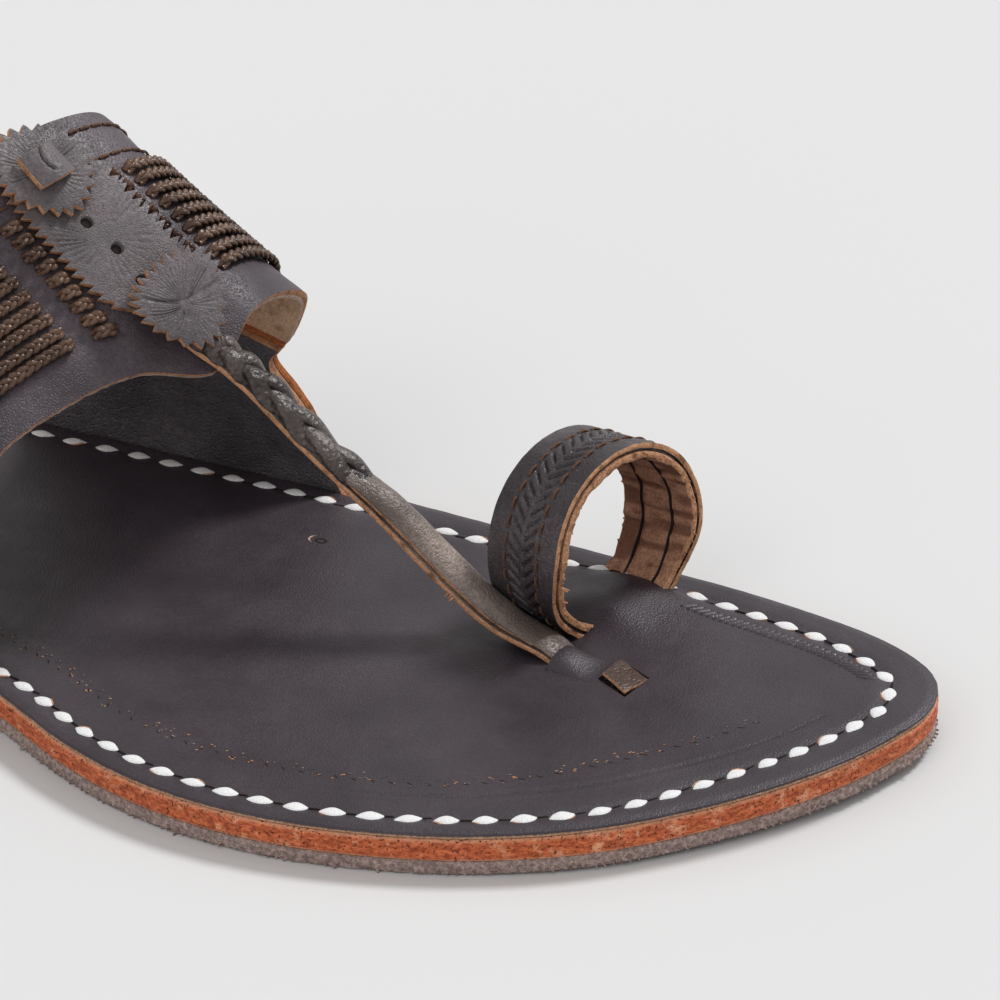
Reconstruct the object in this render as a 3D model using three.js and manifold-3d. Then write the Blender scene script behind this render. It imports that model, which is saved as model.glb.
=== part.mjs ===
// Kolhapuri sandal, right foot. Millimetres, +X towards the toe, +Y towards the medial side, +Z up.
// The tables below count from the floor under the middle of the sole; the finished group is moved so
// that its own origin is under the middle of the whole sandal, ring and band included.
import * as THREE from "three";
import { mergeVertices } from "three/addons/utils/BufferGeometryUtils.js";
import Module from "manifold-3d";

// ---------------------------------------------------------------- driving dimensions
const LENGTH = 288; // heel to toe
const GAP = 0.3; // between pieces that meet
const OUTSOLE_THICK = 2.4;
const MIDSOLE_THICK = 3.6;
const INSOLE_THICK = 1.3;
const HEEL_HEIGHT = 6; // rise of the heel seat over the ball
const HEEL_BREAST = -82; // x of the front face of the heel lift
const WAIST_START = 10; // x where the sole leaves the floor towards the heel
const SEAT_START = -76; // x where the level heel seat begins
const TOE_SPRING = 1.9; // rise at the toe
const SPRING_START = 80; // x where the toe spring begins

const BAND_WALL = 2; // outer leather and lining together
const EAR_WALL = 3; // two thicknesses of leather
const PANEL_THICK = 1.5;
const ROSETTE_THICK = 1.4;
const CORD_PROUD = 2.2; // how far a braided cord stands off the band
const CORD_ROWS = 9;

const RING_RADIUS = 19; // outside of the toe ring
const RING_WALL = 3;
const RING_WIDTH = 15.6;
const RING_FLATNESS = 0.92; // height of the ring's loop over its width
const RING_TURN = -0.23; // radians that the ring is turned about the vertical
const RING_PITCH = 0.13; // radians that the ring leans back

// Half-outlines of the sole at stations along the shoe; the lateral side is negative.
const SOLE_SECTIONS = [
  { x: -141, lateral: -7.1, medial: 21.6 },
  { x: -130, lateral: -21.2, medial: 35.7 },
  { x: -108, lateral: -28.6, medial: 43.1 },
  { x: -85, lateral: -28.2, medial: 42 },
  { x: -62, lateral: -28.5, medial: 41 },
  { x: -40, lateral: -30, medial: 43 },
  { x: -20, lateral: -33, medial: 47.5 },
  { x: 5, lateral: -39.4, medial: 51.3 },
  { x: 21, lateral: -46.4, medial: 52.2 },
  { x: 36, lateral: -50.9, medial: 52.4 },
  { x: 50, lateral: -52.4, medial: 52.4 },
  { x: 65, lateral: -51.2, medial: 52.4 },
  { x: 80, lateral: -47.2, medial: 52.4 },
  { x: 96, lateral: -40.2, medial: 52.2 },
  { x: 112, lateral: -29.2, medial: 50.4 },
  { x: 126, lateral: -13.8, medial: 47.3 },
  { x: 136, lateral: 1.7, medial: 42.4 },
  { x: 141.4, lateral: 14.5, medial: 36.8 },
];
const HEEL_BACK_Y = 7.2;
const TOE_TIP_Y = 27.5;

// Instep band: its outer face at the front and back edges, from the lateral end over the foot.
const BAND_ROWS = [
  { at: "lateral end", fx: 3, fy: -38.5, fz: 20, bx: -44, by: -31, bz: 30 },
  { at: "lateral wall", fx: 0, fy: -36, fz: 32.5, bx: -41, by: -30.5, bz: 47 },
  { at: "lateral shoulder", fx: -2.5, fy: -27, fz: 43, bx: -36, by: -24, bz: 64 },
  { at: "lateral top", fx: 2, fy: -12.5, fz: 48, bx: -29.5, by: -11.5, bz: 76 },
  { at: "beside the crown", fx: 8.5, fy: 1, fz: 50, bx: -24.5, by: -1, bz: 81.5 },
  { at: "crown", fx: 17.5, fy: 11, fz: 48.5, bx: -22, by: 8, bz: 82.5 },
  { at: "medial top", fx: 17.9, fy: 22, fz: 55, bx: -20, by: 20, bz: 83 },
  { at: "medial crest", fx: 16.8, fy: 34.5, fz: 53.4, bx: -18.5, by: 33, bz: 79.5 },
  { at: "medial shoulder", fx: 16.4, fy: 42.5, fz: 49.1, bx: -19.5, by: 40.5, bz: 68 },
  { at: "medial wall", fx: 13, fy: 44.5, fz: 41, bx: -23, by: 42.8, bz: 54 },
  { at: "medial end", fx: 9.2, fy: 45.5, fz: 35.8, bx: -28, by: 43.8, bz: 38 },
];
const CROWN = 5 / (BAND_ROWS.length - 1); // share of the girth at the crown row

// Where each ear leaves the sole, and where it meets the band (share of the band's width from the front).
const EARS = {
  medial: { front: 19, back: -46, bandFront: 0, bandBack: 0.94, lap: 0.06, end: 1, belly: 1.6 },
  lateral: { front: -4, back: -62, bandFront: 0.06, bandBack: 0.94, lap: 0.08, end: 0, belly: 2 },
};

// Thong strap: middle of its underside, from under the rosette to the slit in the insole.
const THONG_ROWS = [
  { at: "root on the band", x: 8.5, y: 11.3, z: 55.6, width: 6, height: 1.6 },
  { at: "under the rosette rim", x: 13.2, y: 11.8, z: 52.6, width: 6.2, height: 2 },
  { at: "clear of the band", x: 18.4, y: 12.3, z: 49.9, width: 6.5, height: 3.2 },
  { at: "braid", x: 24.6, y: 13, z: 45.6, width: 6.6, height: 3.8 },
  { at: "middle of braid", x: 34, y: 13.7, z: 37.8, width: 6.6, height: 3.8 },
  { at: "end of braid", x: 47.5, y: 14.7, z: 28, width: 6.8, height: 3.7 },
  { at: "rolled strap", x: 61.2, y: 15.9, z: 16.8, width: 7, height: 3.5 },
  { at: "neck", x: 70, y: 16.3, z: 11.4, width: 7, height: 3 },
  { at: "slit", x: 81.5, y: 17, z: 8.5, width: 6.8, height: 1.8 },
];

// ---------------------------------------------------------------- helpers
const point = (x, y, z) => new THREE.Vector3(x, y, z);

function smooth(t) {
  const c = Math.min(1, Math.max(0, t));
  return c * c * (3 - 2 * c);
}

// A closed body between two grids of points; each face is called with its shares (f, g) of the grid.
// wrap joins the last column to the first.
function sheet(rows, columns, over, under, wrap = false) {
  const points = [];
  for (const face of [over, under])
    for (let i = 0; i <= rows; i++)
      for (let j = 0; j <= columns; j++) points.push(face(i / rows, j / columns, i, j));
  const below = (rows + 1) * (columns + 1);
  const at = (i, j) => i * (columns + 1) + j;
  const index = [];
  const quad = (a, b, c, d) => index.push(a, b, c, a, c, d);
  for (let i = 0; i < rows; i++)
    for (let j = 0; j < columns; j++) {
      const corners = [at(i, j), at(i + 1, j), at(i + 1, j + 1), at(i, j + 1)];
      quad(...corners);
      quad(...corners.map((c) => c + below).reverse());
    }
  const rim = (a, b) => quad(a, b, b + below, a + below);
  for (let i = 0; i < rows && !wrap; i++) {
    rim(at(i + 1, 0), at(i, 0));
    rim(at(i, columns), at(i + 1, columns));
  }
  for (let j = 0; j < columns; j++) {
    rim(at(0, j), at(0, j + 1));
    rim(at(rows, j + 1), at(rows, j));
  }
  return closed(points, index);
}

// Merges coincident corners, drops empty triangles and turns the faces outwards.
function closed(points, index) {
  const merged = mergeVertices(new THREE.BufferGeometry().setFromPoints(points).setIndex(index), 1e-3);
  const place = merged.getAttribute("position");
  const corner = (n) => point(0, 0, 0).fromBufferAttribute(place, n);
  const kept = [];
  let volume = 0;
  for (let i = 0; i < merged.index.count; i += 3) {
    const [a, b, c] = [0, 1, 2].map((k) => merged.index.getX(i + k));
    if (a === b || b === c || c === a) continue;
    kept.push(a, b, c);
    volume += corner(a).dot(corner(b).cross(corner(c)));
  }
  if (volume < 0) kept.reverse();
  return merged.setIndex(kept);
}

const wasm = await Module();
wasm.setup();

function toSolid(geometry) {
  return new wasm.Manifold(
    new wasm.Mesh({
      numProp: 3,
      vertProperties: new Float32Array(geometry.getAttribute("position").array),
      triVerts: new Uint32Array(geometry.index.array),
    }),
  );
}

function toGeometry(solid) {
  const mesh = solid.getMesh();
  return new THREE.BufferGeometry()
    .setAttribute("position", new THREE.BufferAttribute(mesh.vertProperties, 3))
    .setIndex(new THREE.BufferAttribute(mesh.triVerts, 1));
}

// ---------------------------------------------------------------- sole
const outline = new THREE.CatmullRomCurve3(
  [
    ...SOLE_SECTIONS.map((s) => point(s.x, s.lateral, 0)),
    point(LENGTH / 2, TOE_TIP_Y, 0),
    ...SOLE_SECTIONS.map((s) => point(s.x, s.medial, 0)).reverse(),
    point(-LENGTH / 2, HEEL_BACK_Y, 0),
  ],
  true,
  "centripetal",
).getPoints(700);

// Height of the sole's underside over the floor.
function rise(x) {
  const toe = Math.max(0, (x - SPRING_START) / (LENGTH / 2 - SPRING_START));
  return HEEL_HEIGHT * smooth((WAIST_START - x) / (WAIST_START - SEAT_START)) + TOE_SPRING * toe * toe;
}

// Both edges of the sole at one station.
function edges(x) {
  const ys = [];
  for (let i = 0; i + 1 < outline.length; i++) {
    const [a, b] = [outline[i], outline[i + 1]];
    if (a.x <= x !== b.x <= x) ys.push(a.y + ((b.y - a.y) * (x - a.x)) / (b.x - a.x));
  }
  if (ys.length) return { lateral: Math.min(...ys), medial: Math.max(...ys) };
  const tip = x > 0 ? TOE_TIP_Y : HEEL_BACK_Y;
  return { lateral: tip, medial: tip };
}

const MIDSOLE_BASE = OUTSOLE_THICK + GAP;
const INSOLE_BASE = MIDSOLE_BASE + MIDSOLE_THICK + GAP;
const INSOLE_TOP = INSOLE_BASE + INSOLE_THICK;

// One layer of the sole between two heights over its underside. Stations crowd at the round ends.
function layer(low, high, stations, columns, notch = () => 0) {
  const place = (height) => (f, g) => {
    const x = (-LENGTH / 2) * Math.cos(Math.PI * f);
    const side = edges(x);
    const lateral = side.lateral + notch(x, EARS.lateral);
    const medial = side.medial - notch(x, EARS.medial);
    return point(x, lateral + (medial - lateral) * g, rise(x) + height);
  };
  return sheet(stations, columns, place(high), place(low));
}

// The insole stands back from the edge where an ear rises beside it.
function earNotch(x, ear) {
  const run = 5;
  const inside = smooth((ear.front + 2 * run - x) / run) * smooth((x - ear.back + 2 * run) / run);
  return (EAR_WALL + 2 * GAP) * inside;
}

function box(x, y, z, length, width, height, turn = 0) {
  const shape = new THREE.BoxGeometry(length, width, height);
  shape.deleteAttribute("normal");
  shape.deleteAttribute("uv");
  const merged = mergeVertices(shape, 1e-3);
  return toSolid(merged.rotateZ(turn).translate(x, y, z));
}

// Corners of the skewed square slot ahead of the thong.
const SLOT = [
  { x: 90.8, y: 20.1 },
  { x: 97.9, y: 16.8 },
  { x: 97.2, y: 9.2 },
  { x: 90.3, y: 12.6 },
];
const SLOT_MIDDLE = SLOT.reduce((sum, c) => sum.add(point(c.x, c.y, 0)), point(0, 0, 0)).divideScalar(4);

// An upright block on the slot's corners, each moved in towards the middle.
function slotBlock(inset, low, high) {
  const corners = SLOT.map((c) => {
    const corner = point(c.x, c.y, 0);
    return corner.addScaledVector(SLOT_MIDDLE.clone().sub(corner).normalize(), inset);
  });
  const depth = high - low;
  const shape = new THREE.ExtrudeGeometry(new THREE.Shape(corners), { depth, bevelEnabled: false });
  shape.deleteAttribute("normal");
  shape.deleteAttribute("uv");
  return mergeVertices(shape, 1e-3).translate(0, 0, low);
}

function insole() {
  const plate = toSolid(layer(INSOLE_BASE, INSOLE_TOP, 96, 2, earNotch));
  return toGeometry(plate.subtract(toSolid(slotBlock(0, 0, INSOLE_TOP + HEEL_HEIGHT))));
}

// The thong's end, brought up in the slot.
function thongKnot() {
  const base = rise(SLOT_MIDDLE.x) + INSOLE_BASE + GAP / 2;
  return slotBlock(2 * GAP, base, base + INSOLE_THICK);
}

// Rubber block under the heel, flat below and following the outsole above.
function heelLift() {
  const place = (height) => (f, g) => {
    const x = -LENGTH / 2 + (HEEL_BREAST + LENGTH / 2) * (1 - Math.cos((Math.PI * f) / 2));
    const side = edges(x);
    return point(x, side.lateral + (side.medial - side.lateral) * g, height(x));
  };
  return sheet(28, 2, place((x) => rise(x) - GAP), place(() => 0));
}

// ---------------------------------------------------------------- upper
const bandFront = new THREE.CatmullRomCurve3(BAND_ROWS.map((r) => point(r.fx, r.fy, r.fz)));
const bandBack = new THREE.CatmullRomCurve3(BAND_ROWS.map((r) => point(r.bx, r.by, r.bz)));

// The band's outer face: u is the share of the girth, v the share of the width from the front.
function bandFace(u, v) {
  return bandFront.getPoint(u).lerp(bandBack.getPoint(u), v);
}

// A point at a height over the band's outer face.
function onBand(u, v, height = 0) {
  const step = 0.004;
  const u0 = Math.min(1 - step, Math.max(step, u));
  const along = bandFace(u0 + step, v).sub(bandFace(u0 - step, v));
  const back = bandFace(u, v + step).sub(bandFace(u, v - step));
  const normal = along.cross(back).normalize();
  return bandFace(u, v).addScaledVector(normal, height);
}

const bandWidth = bandFace(CROWN, 0).distanceTo(bandFace(CROWN, 1));

// A point near the crown: across in mm towards the medial side, back in mm from the front edge.
function onCrown(across, back, height) {
  const v = back / bandWidth;
  const step = 0.02;
  const girth = bandFace(CROWN + step, v).distanceTo(bandFace(CROWN - step, v)) / (2 * step);
  return onBand(CROWN + across / girth, v, height);
}

function band() {
  const face = (height) => (f, g) => onBand(f, g, height);
  return sheet(54, 5, face(0), face(-BAND_WALL));
}

const EAR_FOOT = INSOLE_BASE + 3 * GAP; // height of the ears' lower edge over the sole's underside
const EAR_BELLY = 0.6; // share of an ear's height at which it bulges most
const EAR_SUNK = 0.4; // how far an ear is sewn into the band's lining

// An ear: a flap from the edge of the sole up to the inside of the band's end.
function ear(side, name) {
  const lapRows = [0, side.lap].map((lap) => Math.abs(side.end - lap));
  const sign = name === "medial" ? 1 : -1;
  const spine = (g) => {
    const x = side.front + (side.back - side.front) * g;
    const v = side.bandFront + (side.bandBack - side.bandFront) * g;
    const edge = edges(x)[name] - sign * EAR_WALL / 2;
    const foot = point(x, edge, rise(x) + EAR_FOOT);
    const joints = lapRows.map((u) => onBand(u, v, EAR_SUNK - BAND_WALL - EAR_WALL / 2));
    const belly = foot.clone().lerp(joints[0], EAR_BELLY);
    belly.y += sign * side.belly;
    return new THREE.CatmullRomCurve3([foot, belly, ...joints]);
  };
  const face = (shift) => (f, g) => {
    const line = spine(g);
    const up = line.getTangent(f);
    const ahead = spine(Math.max(0, g - 0.05)).getPoint(f).sub(spine(Math.min(1, g + 0.05)).getPoint(f));
    const normal = up.cross(ahead).normalize().multiplyScalar(sign);
    return line.getPoint(f).addScaledVector(normal, shift);
  };
  return sheet(9, 10, face(EAR_WALL / 2), face(-EAR_WALL / 2));
}

// The thong strap, flat below and rounded above.
function thong() {
  const line = new THREE.CatmullRomCurve3(THONG_ROWS.map((r) => point(r.x, r.y, r.z)));
  const sizes = new THREE.CatmullRomCurve3(THONG_ROWS.map((r) => point(r.width, r.height, 0)));
  const face = (top) => (f, g) => {
    const middle = line.getPoint(f);
    const size = sizes.getPoint(f);
    const tangent = line.getTangent(f);
    const side = point(0, 0, 1).cross(tangent).normalize();
    const up = tangent.clone().cross(side);
    const across = 2 * g - 1;
    const lift = top ? size.y * (0.3 + 0.7 * Math.sqrt(Math.max(0, 1 - across * across))) : 0;
    return middle.addScaledVector(side, (across * size.x) / 2).addScaledVector(up, lift);
  };
  return sheet(22, 8, face(true), face(false));
}

function upper() {
  const pieces = [band(), ear(EARS.medial, "medial"), ear(EARS.lateral, "lateral"), thong()];
  return toGeometry(pieces.map(toSolid).reduce((whole, piece) => whole.add(piece)));
}

// ---------------------------------------------------------------- overlays on the crown
const PANEL_LOW = GAP;
const LOWER_ROSETTE = { across: 2, back: 11.8, radius: 7.9, low: 3.9, teeth: 24 };
const UPPER_ROSETTE = { across: 0, back: 44.5, radius: 8.5, low: GAP + PANEL_THICK + GAP, teeth: 24 };
const PANEL = { across: 0.8, from: 14.5, to: 47, halfWidth: 9.2, teeth: 14 };
const TOOTH = 0.55; // half the depth of a pinked tooth

function rosette({ across, back, radius, low, teeth }) {
  const face = (height) => (f, g, i, j) => {
    const tooth = i === 2 ? (j % 2 ? -TOOTH : TOOTH) : 0;
    const r = (f * radius) + tooth;
    const angle = g * 2 * Math.PI;
    return onCrown(across + r * Math.cos(angle), back + r * Math.sin(angle), height);
  };
  return sheet(2, 2 * teeth, face(low + ROSETTE_THICK), face(low), true);
}

function centrePanel() {
  const { across, from, to, halfWidth, teeth } = PANEL;
  const face = (height) => (f, g, i) => {
    const round = Math.sqrt(Math.max(0, 1 - Math.pow(Math.abs(2 * f - 1), 6)));
    const half = halfWidth * (0.55 + 0.45 * round) + (i % 2 ? -TOOTH : TOOTH);
    return onCrown(across + half * (2 * g - 1), from + (to - from) * f, height);
  };
  return sheet(2 * teeth, 2, face(PANEL_LOW + PANEL_THICK), face(PANEL_LOW));
}

// Square leather tab that arches over the upper rosette.
const TAB = { length: 7.4, width: 6.6, arch: 1.6, thick: 1.4 };

function rosetteTab() {
  const low = UPPER_ROSETTE.low + ROSETTE_THICK + GAP;
  const face = (height) => (f, g) => {
    const arch = TAB.arch * Math.sin(Math.PI * f);
    const across = UPPER_ROSETTE.across + TAB.length * (f - 0.5);
    return onCrown(across, UPPER_ROSETTE.back + TAB.width * (g - 0.5), low + arch + height);
  };
  return sheet(6, 1, face(TAB.thick), face(0));
}

// A run of braided cords side by side: ribs across the band's width, straight along its girth.
const CORD_BACK = { from: 0.17, to: 0.74 };
const CORD_VALLEY = 0.5; // height of the web between two cords

function cords(u0, u1, rows) {
  const perCord = 4;
  const proud = [0, 0.75, 1, 0.75];
  const over = (f, g, i, j) => {
    const v = CORD_BACK.from + (CORD_BACK.to - CORD_BACK.from) * g;
    return onBand(u0(v) + (u1(v) - u0(v)) * f, v, GAP + CORD_VALLEY + (CORD_PROUD - CORD_VALLEY) * proud[j % perCord]);
  };
  const under = (f, g) => {
    const v = CORD_BACK.from + (CORD_BACK.to - CORD_BACK.from) * g;
    return onBand(u0(v) + (u1(v) - u0(v)) * f, v, GAP);
  };
  return sheet(rows, CORD_ROWS * perCord, over, under);
}

// Share of the girth at a distance from the crown line, at one station of the band's width.
function girthShare(across, v) {
  const step = 0.02;
  const girth = bandFace(CROWN + step, v).distanceTo(bandFace(CROWN - step, v)) / (2 * step);
  return CROWN + across / girth;
}

// Distances from the crown: the short stretch beside the panel, then the long one past a plain strip.
const CORD_PLACES = {
  medial: { near: 11.2, far: 12.6, start: 14.2, reach: 0.97 },
  lateral: { near: 9.4, far: 12.8, start: 16, reach: 0.04 },
};

// ---------------------------------------------------------------- toe ring
const RING = { x: 77.5, y: 35.6, lift: 13.2 };
const RING_TRIM = { lateral: 3.2, medial: 2 }; // how far the front edge is cut back at each foot

// Part of the front edge's trim at an angle round the loop, where 0 is level on the medial side.
function ringTrim(angle) {
  return RING_TRIM.lateral * smooth((angle - 2.9) / 0.9) + RING_TRIM.medial * smooth((-0.1 - angle) / 0.7);
}

// A loop of strap cut off level just over the insole.
function toeRing() {
  const foot = Math.asin(RING.lift / RING_RADIUS / RING_FLATNESS) + 0.15;
  const face = (radius) => (f, g) => {
    const angle = -foot + (Math.PI + 2 * foot) * f;
    const across = (g - 0.5) * (RING_WIDTH - (g > 0.5 ? 2 * ringTrim(angle) : 0));
    const rim = point(across, radius * Math.cos(angle), RING_FLATNESS * radius * Math.sin(angle));
    rim.applyEuler(new THREE.Euler(0, -RING_PITCH, RING_TURN, "ZYX"));
    return rim.add(point(RING.x, RING.y, INSOLE_TOP + RING.lift));
  };
  const loop = toSolid(sheet(32, 2, face(RING_RADIUS), face(RING_RADIUS - RING_WALL)));
  const ground = box(RING.x, RING.y, INSOLE_TOP + GAP - 10, 80, 80, 20);
  return toGeometry(loop.subtract(ground));
}

// ---------------------------------------------------------------- assembly
const rubber = new THREE.MeshStandardMaterial({ color: 0x6b5a4c, roughness: 0.9 });
const russet = new THREE.MeshStandardMaterial({ color: 0xb4602f, roughness: 0.7 });
const darkLeather = new THREE.MeshStandardMaterial({ color: 0x3a3132, roughness: 0.5 });
const cordBrown = new THREE.MeshStandardMaterial({ color: 0x4d3b2e, roughness: 0.7 });

const sandal = new THREE.Group();

function add(name, geometry, material) {
  const mesh = new THREE.Mesh(geometry, material);
  mesh.name = name;
  sandal.add(mesh);
  return mesh;
}

add("outsole", layer(0, OUTSOLE_THICK, 64, 1), rubber);
add("heel_lift", heelLift(), rubber);
add("midsole", layer(MIDSOLE_BASE, MIDSOLE_BASE + MIDSOLE_THICK, 64, 1), russet);
add("insole", insole(), darkLeather);
add("thong_knot", thongKnot(), darkLeather);
add("upper", upper(), darkLeather);
add("toe_ring", toeRing(), darkLeather);
add("centre_panel", centrePanel(), darkLeather);
add("lower_rosette", rosette(LOWER_ROSETTE), darkLeather);
add("upper_rosette", rosette(UPPER_ROSETTE), darkLeather);
add("rosette_tab", rosetteTab(), darkLeather);

for (const [name, place] of Object.entries(CORD_PLACES)) {
  const sign = name === "medial" ? 1 : -1;
  const share = (across) => (v) => girthShare(sign * across, v);
  add(`${name}_cord_ends`, cords(share(place.near), share(place.far), 2), cordBrown);
  add(`${name}_cords`, cords(share(place.start), () => place.reach, 10), cordBrown);
}

// The origin comes under the middle of everything, on the floor.
const bounds = new THREE.Box3().setFromObject(sandal, true);
const middle = bounds.getCenter(point(0, 0, 0));
sandal.position.set(-middle.x, -middle.y, -bounds.min.z);

export default sandal;
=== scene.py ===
import math

import bmesh
import bpy
import numpy as np
from mathutils import Euler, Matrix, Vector


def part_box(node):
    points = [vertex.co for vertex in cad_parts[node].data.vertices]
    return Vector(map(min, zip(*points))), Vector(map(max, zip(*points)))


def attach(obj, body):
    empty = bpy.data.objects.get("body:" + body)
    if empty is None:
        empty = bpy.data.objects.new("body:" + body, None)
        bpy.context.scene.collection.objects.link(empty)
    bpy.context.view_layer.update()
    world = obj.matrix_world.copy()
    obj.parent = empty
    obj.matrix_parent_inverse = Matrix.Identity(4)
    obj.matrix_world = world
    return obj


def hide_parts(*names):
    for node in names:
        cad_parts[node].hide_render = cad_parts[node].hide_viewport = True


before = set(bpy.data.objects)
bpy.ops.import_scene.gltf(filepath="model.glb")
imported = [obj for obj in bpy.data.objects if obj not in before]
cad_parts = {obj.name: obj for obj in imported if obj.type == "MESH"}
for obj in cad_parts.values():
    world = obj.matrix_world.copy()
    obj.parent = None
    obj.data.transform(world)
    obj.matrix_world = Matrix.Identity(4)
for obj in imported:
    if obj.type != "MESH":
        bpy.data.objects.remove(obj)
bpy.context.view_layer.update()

# Shapes are worked out in millimetres from the floor under the middle of the sole (+X toe, +Y medial,
# +Z up), and shifted into the row frame, in metres, when a mesh is made.
MM = 0.001
SEED = 11
RIM_ROWS = 5  # across a cut edge


def cad_box(node):
    low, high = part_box(node)
    return np.array(low) / MM, np.array(high) / MM


SOLE_LOW, SOLE_HIGH = cad_box("outsole")
LENGTH = SOLE_HIGH[0] - SOLE_LOW[0]
SHIFT = np.array([(SOLE_LOW[0] + SOLE_HIGH[0]) / 2, (SOLE_LOW[1] + SOLE_HIGH[1]) / 2, 0])

# ---- driving sizes
GAP = 0.3  # between the CAD model's pieces
OUTSOLE_THICK = 2.4
MIDSOLE_THICK = 3.6
INSOLE_THICK = 1.3
INSOLE_BASE = OUTSOLE_THICK + MIDSOLE_THICK + 2 * GAP
INSOLE_TOP = INSOLE_BASE + INSOLE_THICK
HEEL_BREAST = cad_box("heel_lift")[1][0] - SHIFT[0]

BAND_WALL = 2.0
LINING = 0.8  # mm of the band's wall that is suede
EAR_WALL = 3.0
EAR_BELLY = 0.6  # share of an ear's height at which it bulges most
PANEL_THICK = 1.5
ROSETTE_THICK = 1.4
CORD_ROWS = 9
CORD_SPAN = (0.17, 0.74)  # shares of the band's width between which the cords lie

STITCH_PITCH = 6.2  # white stitches round the insole
STITCH_LONG = 4.9
STITCH_WIDE = 2.6
STITCH_PROUD = 0.3
TOOL_PITCH = 1.5  # small slanting marks inside the stitches
TOOLED = (-118, 125)  # x of the ends of the tooled marks
ROPE_PITCH = 1.3  # turns of the pressed rope
ROPED = (92, 131)
NUB_PITCH = 1.4  # crumbs along the outsole's edge
SEAM_PITCH = 3.1  # stitches across the back of the band
RING_SEAM_PITCH = 3.4
FIBRE_PITCH = 0.75  # torn fibres along the ring's suede

RING_RADIUS = 19.0
RING_WALL = 3.0
RING_HOLE = RING_RADIUS - RING_WALL
RING_WIDTH = 15.6
RING_FLATNESS = 0.92
RING_TURN = -0.23
RING_PITCH = 0.13
RING_LIFT = 13.2  # of the loop's centre over the insole
RING_PLACE = np.array([77.5, 35.6, INSOLE_TOP + RING_LIFT])

BAND_ROWS = [  # outer face of the band at its front and back edges, from the lateral end over the foot
    ("lateral end", (3, -38.5, 20), (-44, -31, 30)),
    ("lateral wall", (0, -36, 32.5), (-41, -30.5, 47)),
    ("lateral shoulder", (-2.5, -27, 43), (-36, -24, 64)),
    ("lateral top", (2, -12.5, 48), (-29.5, -11.5, 76)),
    ("beside the crown", (8.5, 1, 50), (-24.5, -1, 81.5)),
    ("crown", (17.5, 11, 48.5), (-22, 8, 82.5)),
    ("medial top", (17.9, 22, 55), (-20, 20, 83)),
    ("medial crest", (16.8, 34.5, 53.4), (-18.5, 33, 79.5)),
    ("medial shoulder", (16.4, 42.5, 49.1), (-19.5, 40.5, 68)),
    ("medial wall", (13, 44.5, 41), (-23, 42.8, 54)),
    ("medial end", (9.2, 45.5, 35.8), (-28, 43.8, 38)),
]
CROWN = 5 / (len(BAND_ROWS) - 1)

EARS = {
    "medial": {"front": 19, "back": -46, "band": (0, 0.94), "lap": 0.06, "end": 1, "belly": 1.6},
    "lateral": {"front": -4, "back": -62, "band": (0.06, 0.94), "lap": 0.08, "end": 0, "belly": 2},
}

THONG_ROWS = [  # middle of the strap's underside, with its width and height
    ("root on the band", (8.5, 11.3, 55.6), 6, 1.6),
    ("under the rosette rim", (13.2, 11.8, 52.6), 6.2, 2),
    ("clear of the band", (18.4, 12.3, 49.9), 6.5, 3.2),
    ("braid", (24.6, 13, 45.6), 6.6, 3.8),
    ("middle of braid", (34, 13.7, 37.8), 6.6, 3.8),
    ("end of braid", (47.5, 14.7, 28), 6.8, 3.7),
    ("rolled strap", (61.2, 15.9, 16.8), 7, 3.5),
    ("neck", (70, 16.3, 11.4), 7, 3),
    ("slit", (79.8, 16.6, 8.3), 6.8, 1.7),
    ("below the insole", (84.5, 16.8, 4.6), 6.2, 1.2),
]
SLIT_X = 81.6  # where the strap goes down through the insole


# ---- helpers
def smooth(t):
    t = np.clip(t, 0, 1)
    return t * t * (3 - 2 * t)


def bell(t, power=2):
    """A bump that is 1 at t = 0 and dies away past 1."""
    return np.exp(-(t**power))


def unit(v):
    return v / np.maximum(np.linalg.norm(v, axis=-1, keepdims=True), 1e-9)


def noise(points, size, seed=0):
    """Smooth noise from -1 to 1 at points in mm; size is the distance between bumps."""
    p = np.asarray(points, float) / size
    cell = np.floor(p).astype(np.int64)
    part = p - cell
    part = part * part * (3 - 2 * part)
    total = 0
    for corner in np.ndindex(2, 2, 2):
        c = cell + corner
        h = c[..., 0] * 73856093 ^ c[..., 1] * 19349663 ^ c[..., 2] * 83492791 ^ (seed + SEED) * 26544357
        h = (h ^ (h >> 13)) * 1274126177 & 0xFFFFFFFF
        value = ((h ^ (h >> 16)) & 0xFFFF) / 32767.5 - 1
        total = total + value * np.prod(np.where(corner, part, 1 - part), axis=-1)
    return total


def in_plane(a, b):
    """The points (a, b, 0), where noise over a flat sheet is read."""
    a, b = np.broadcast_arrays(a, b)
    return np.stack([a, b, 0 * a], axis=-1)


def between(a, b, t):
    return a * (1 - t) + b * t


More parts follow.
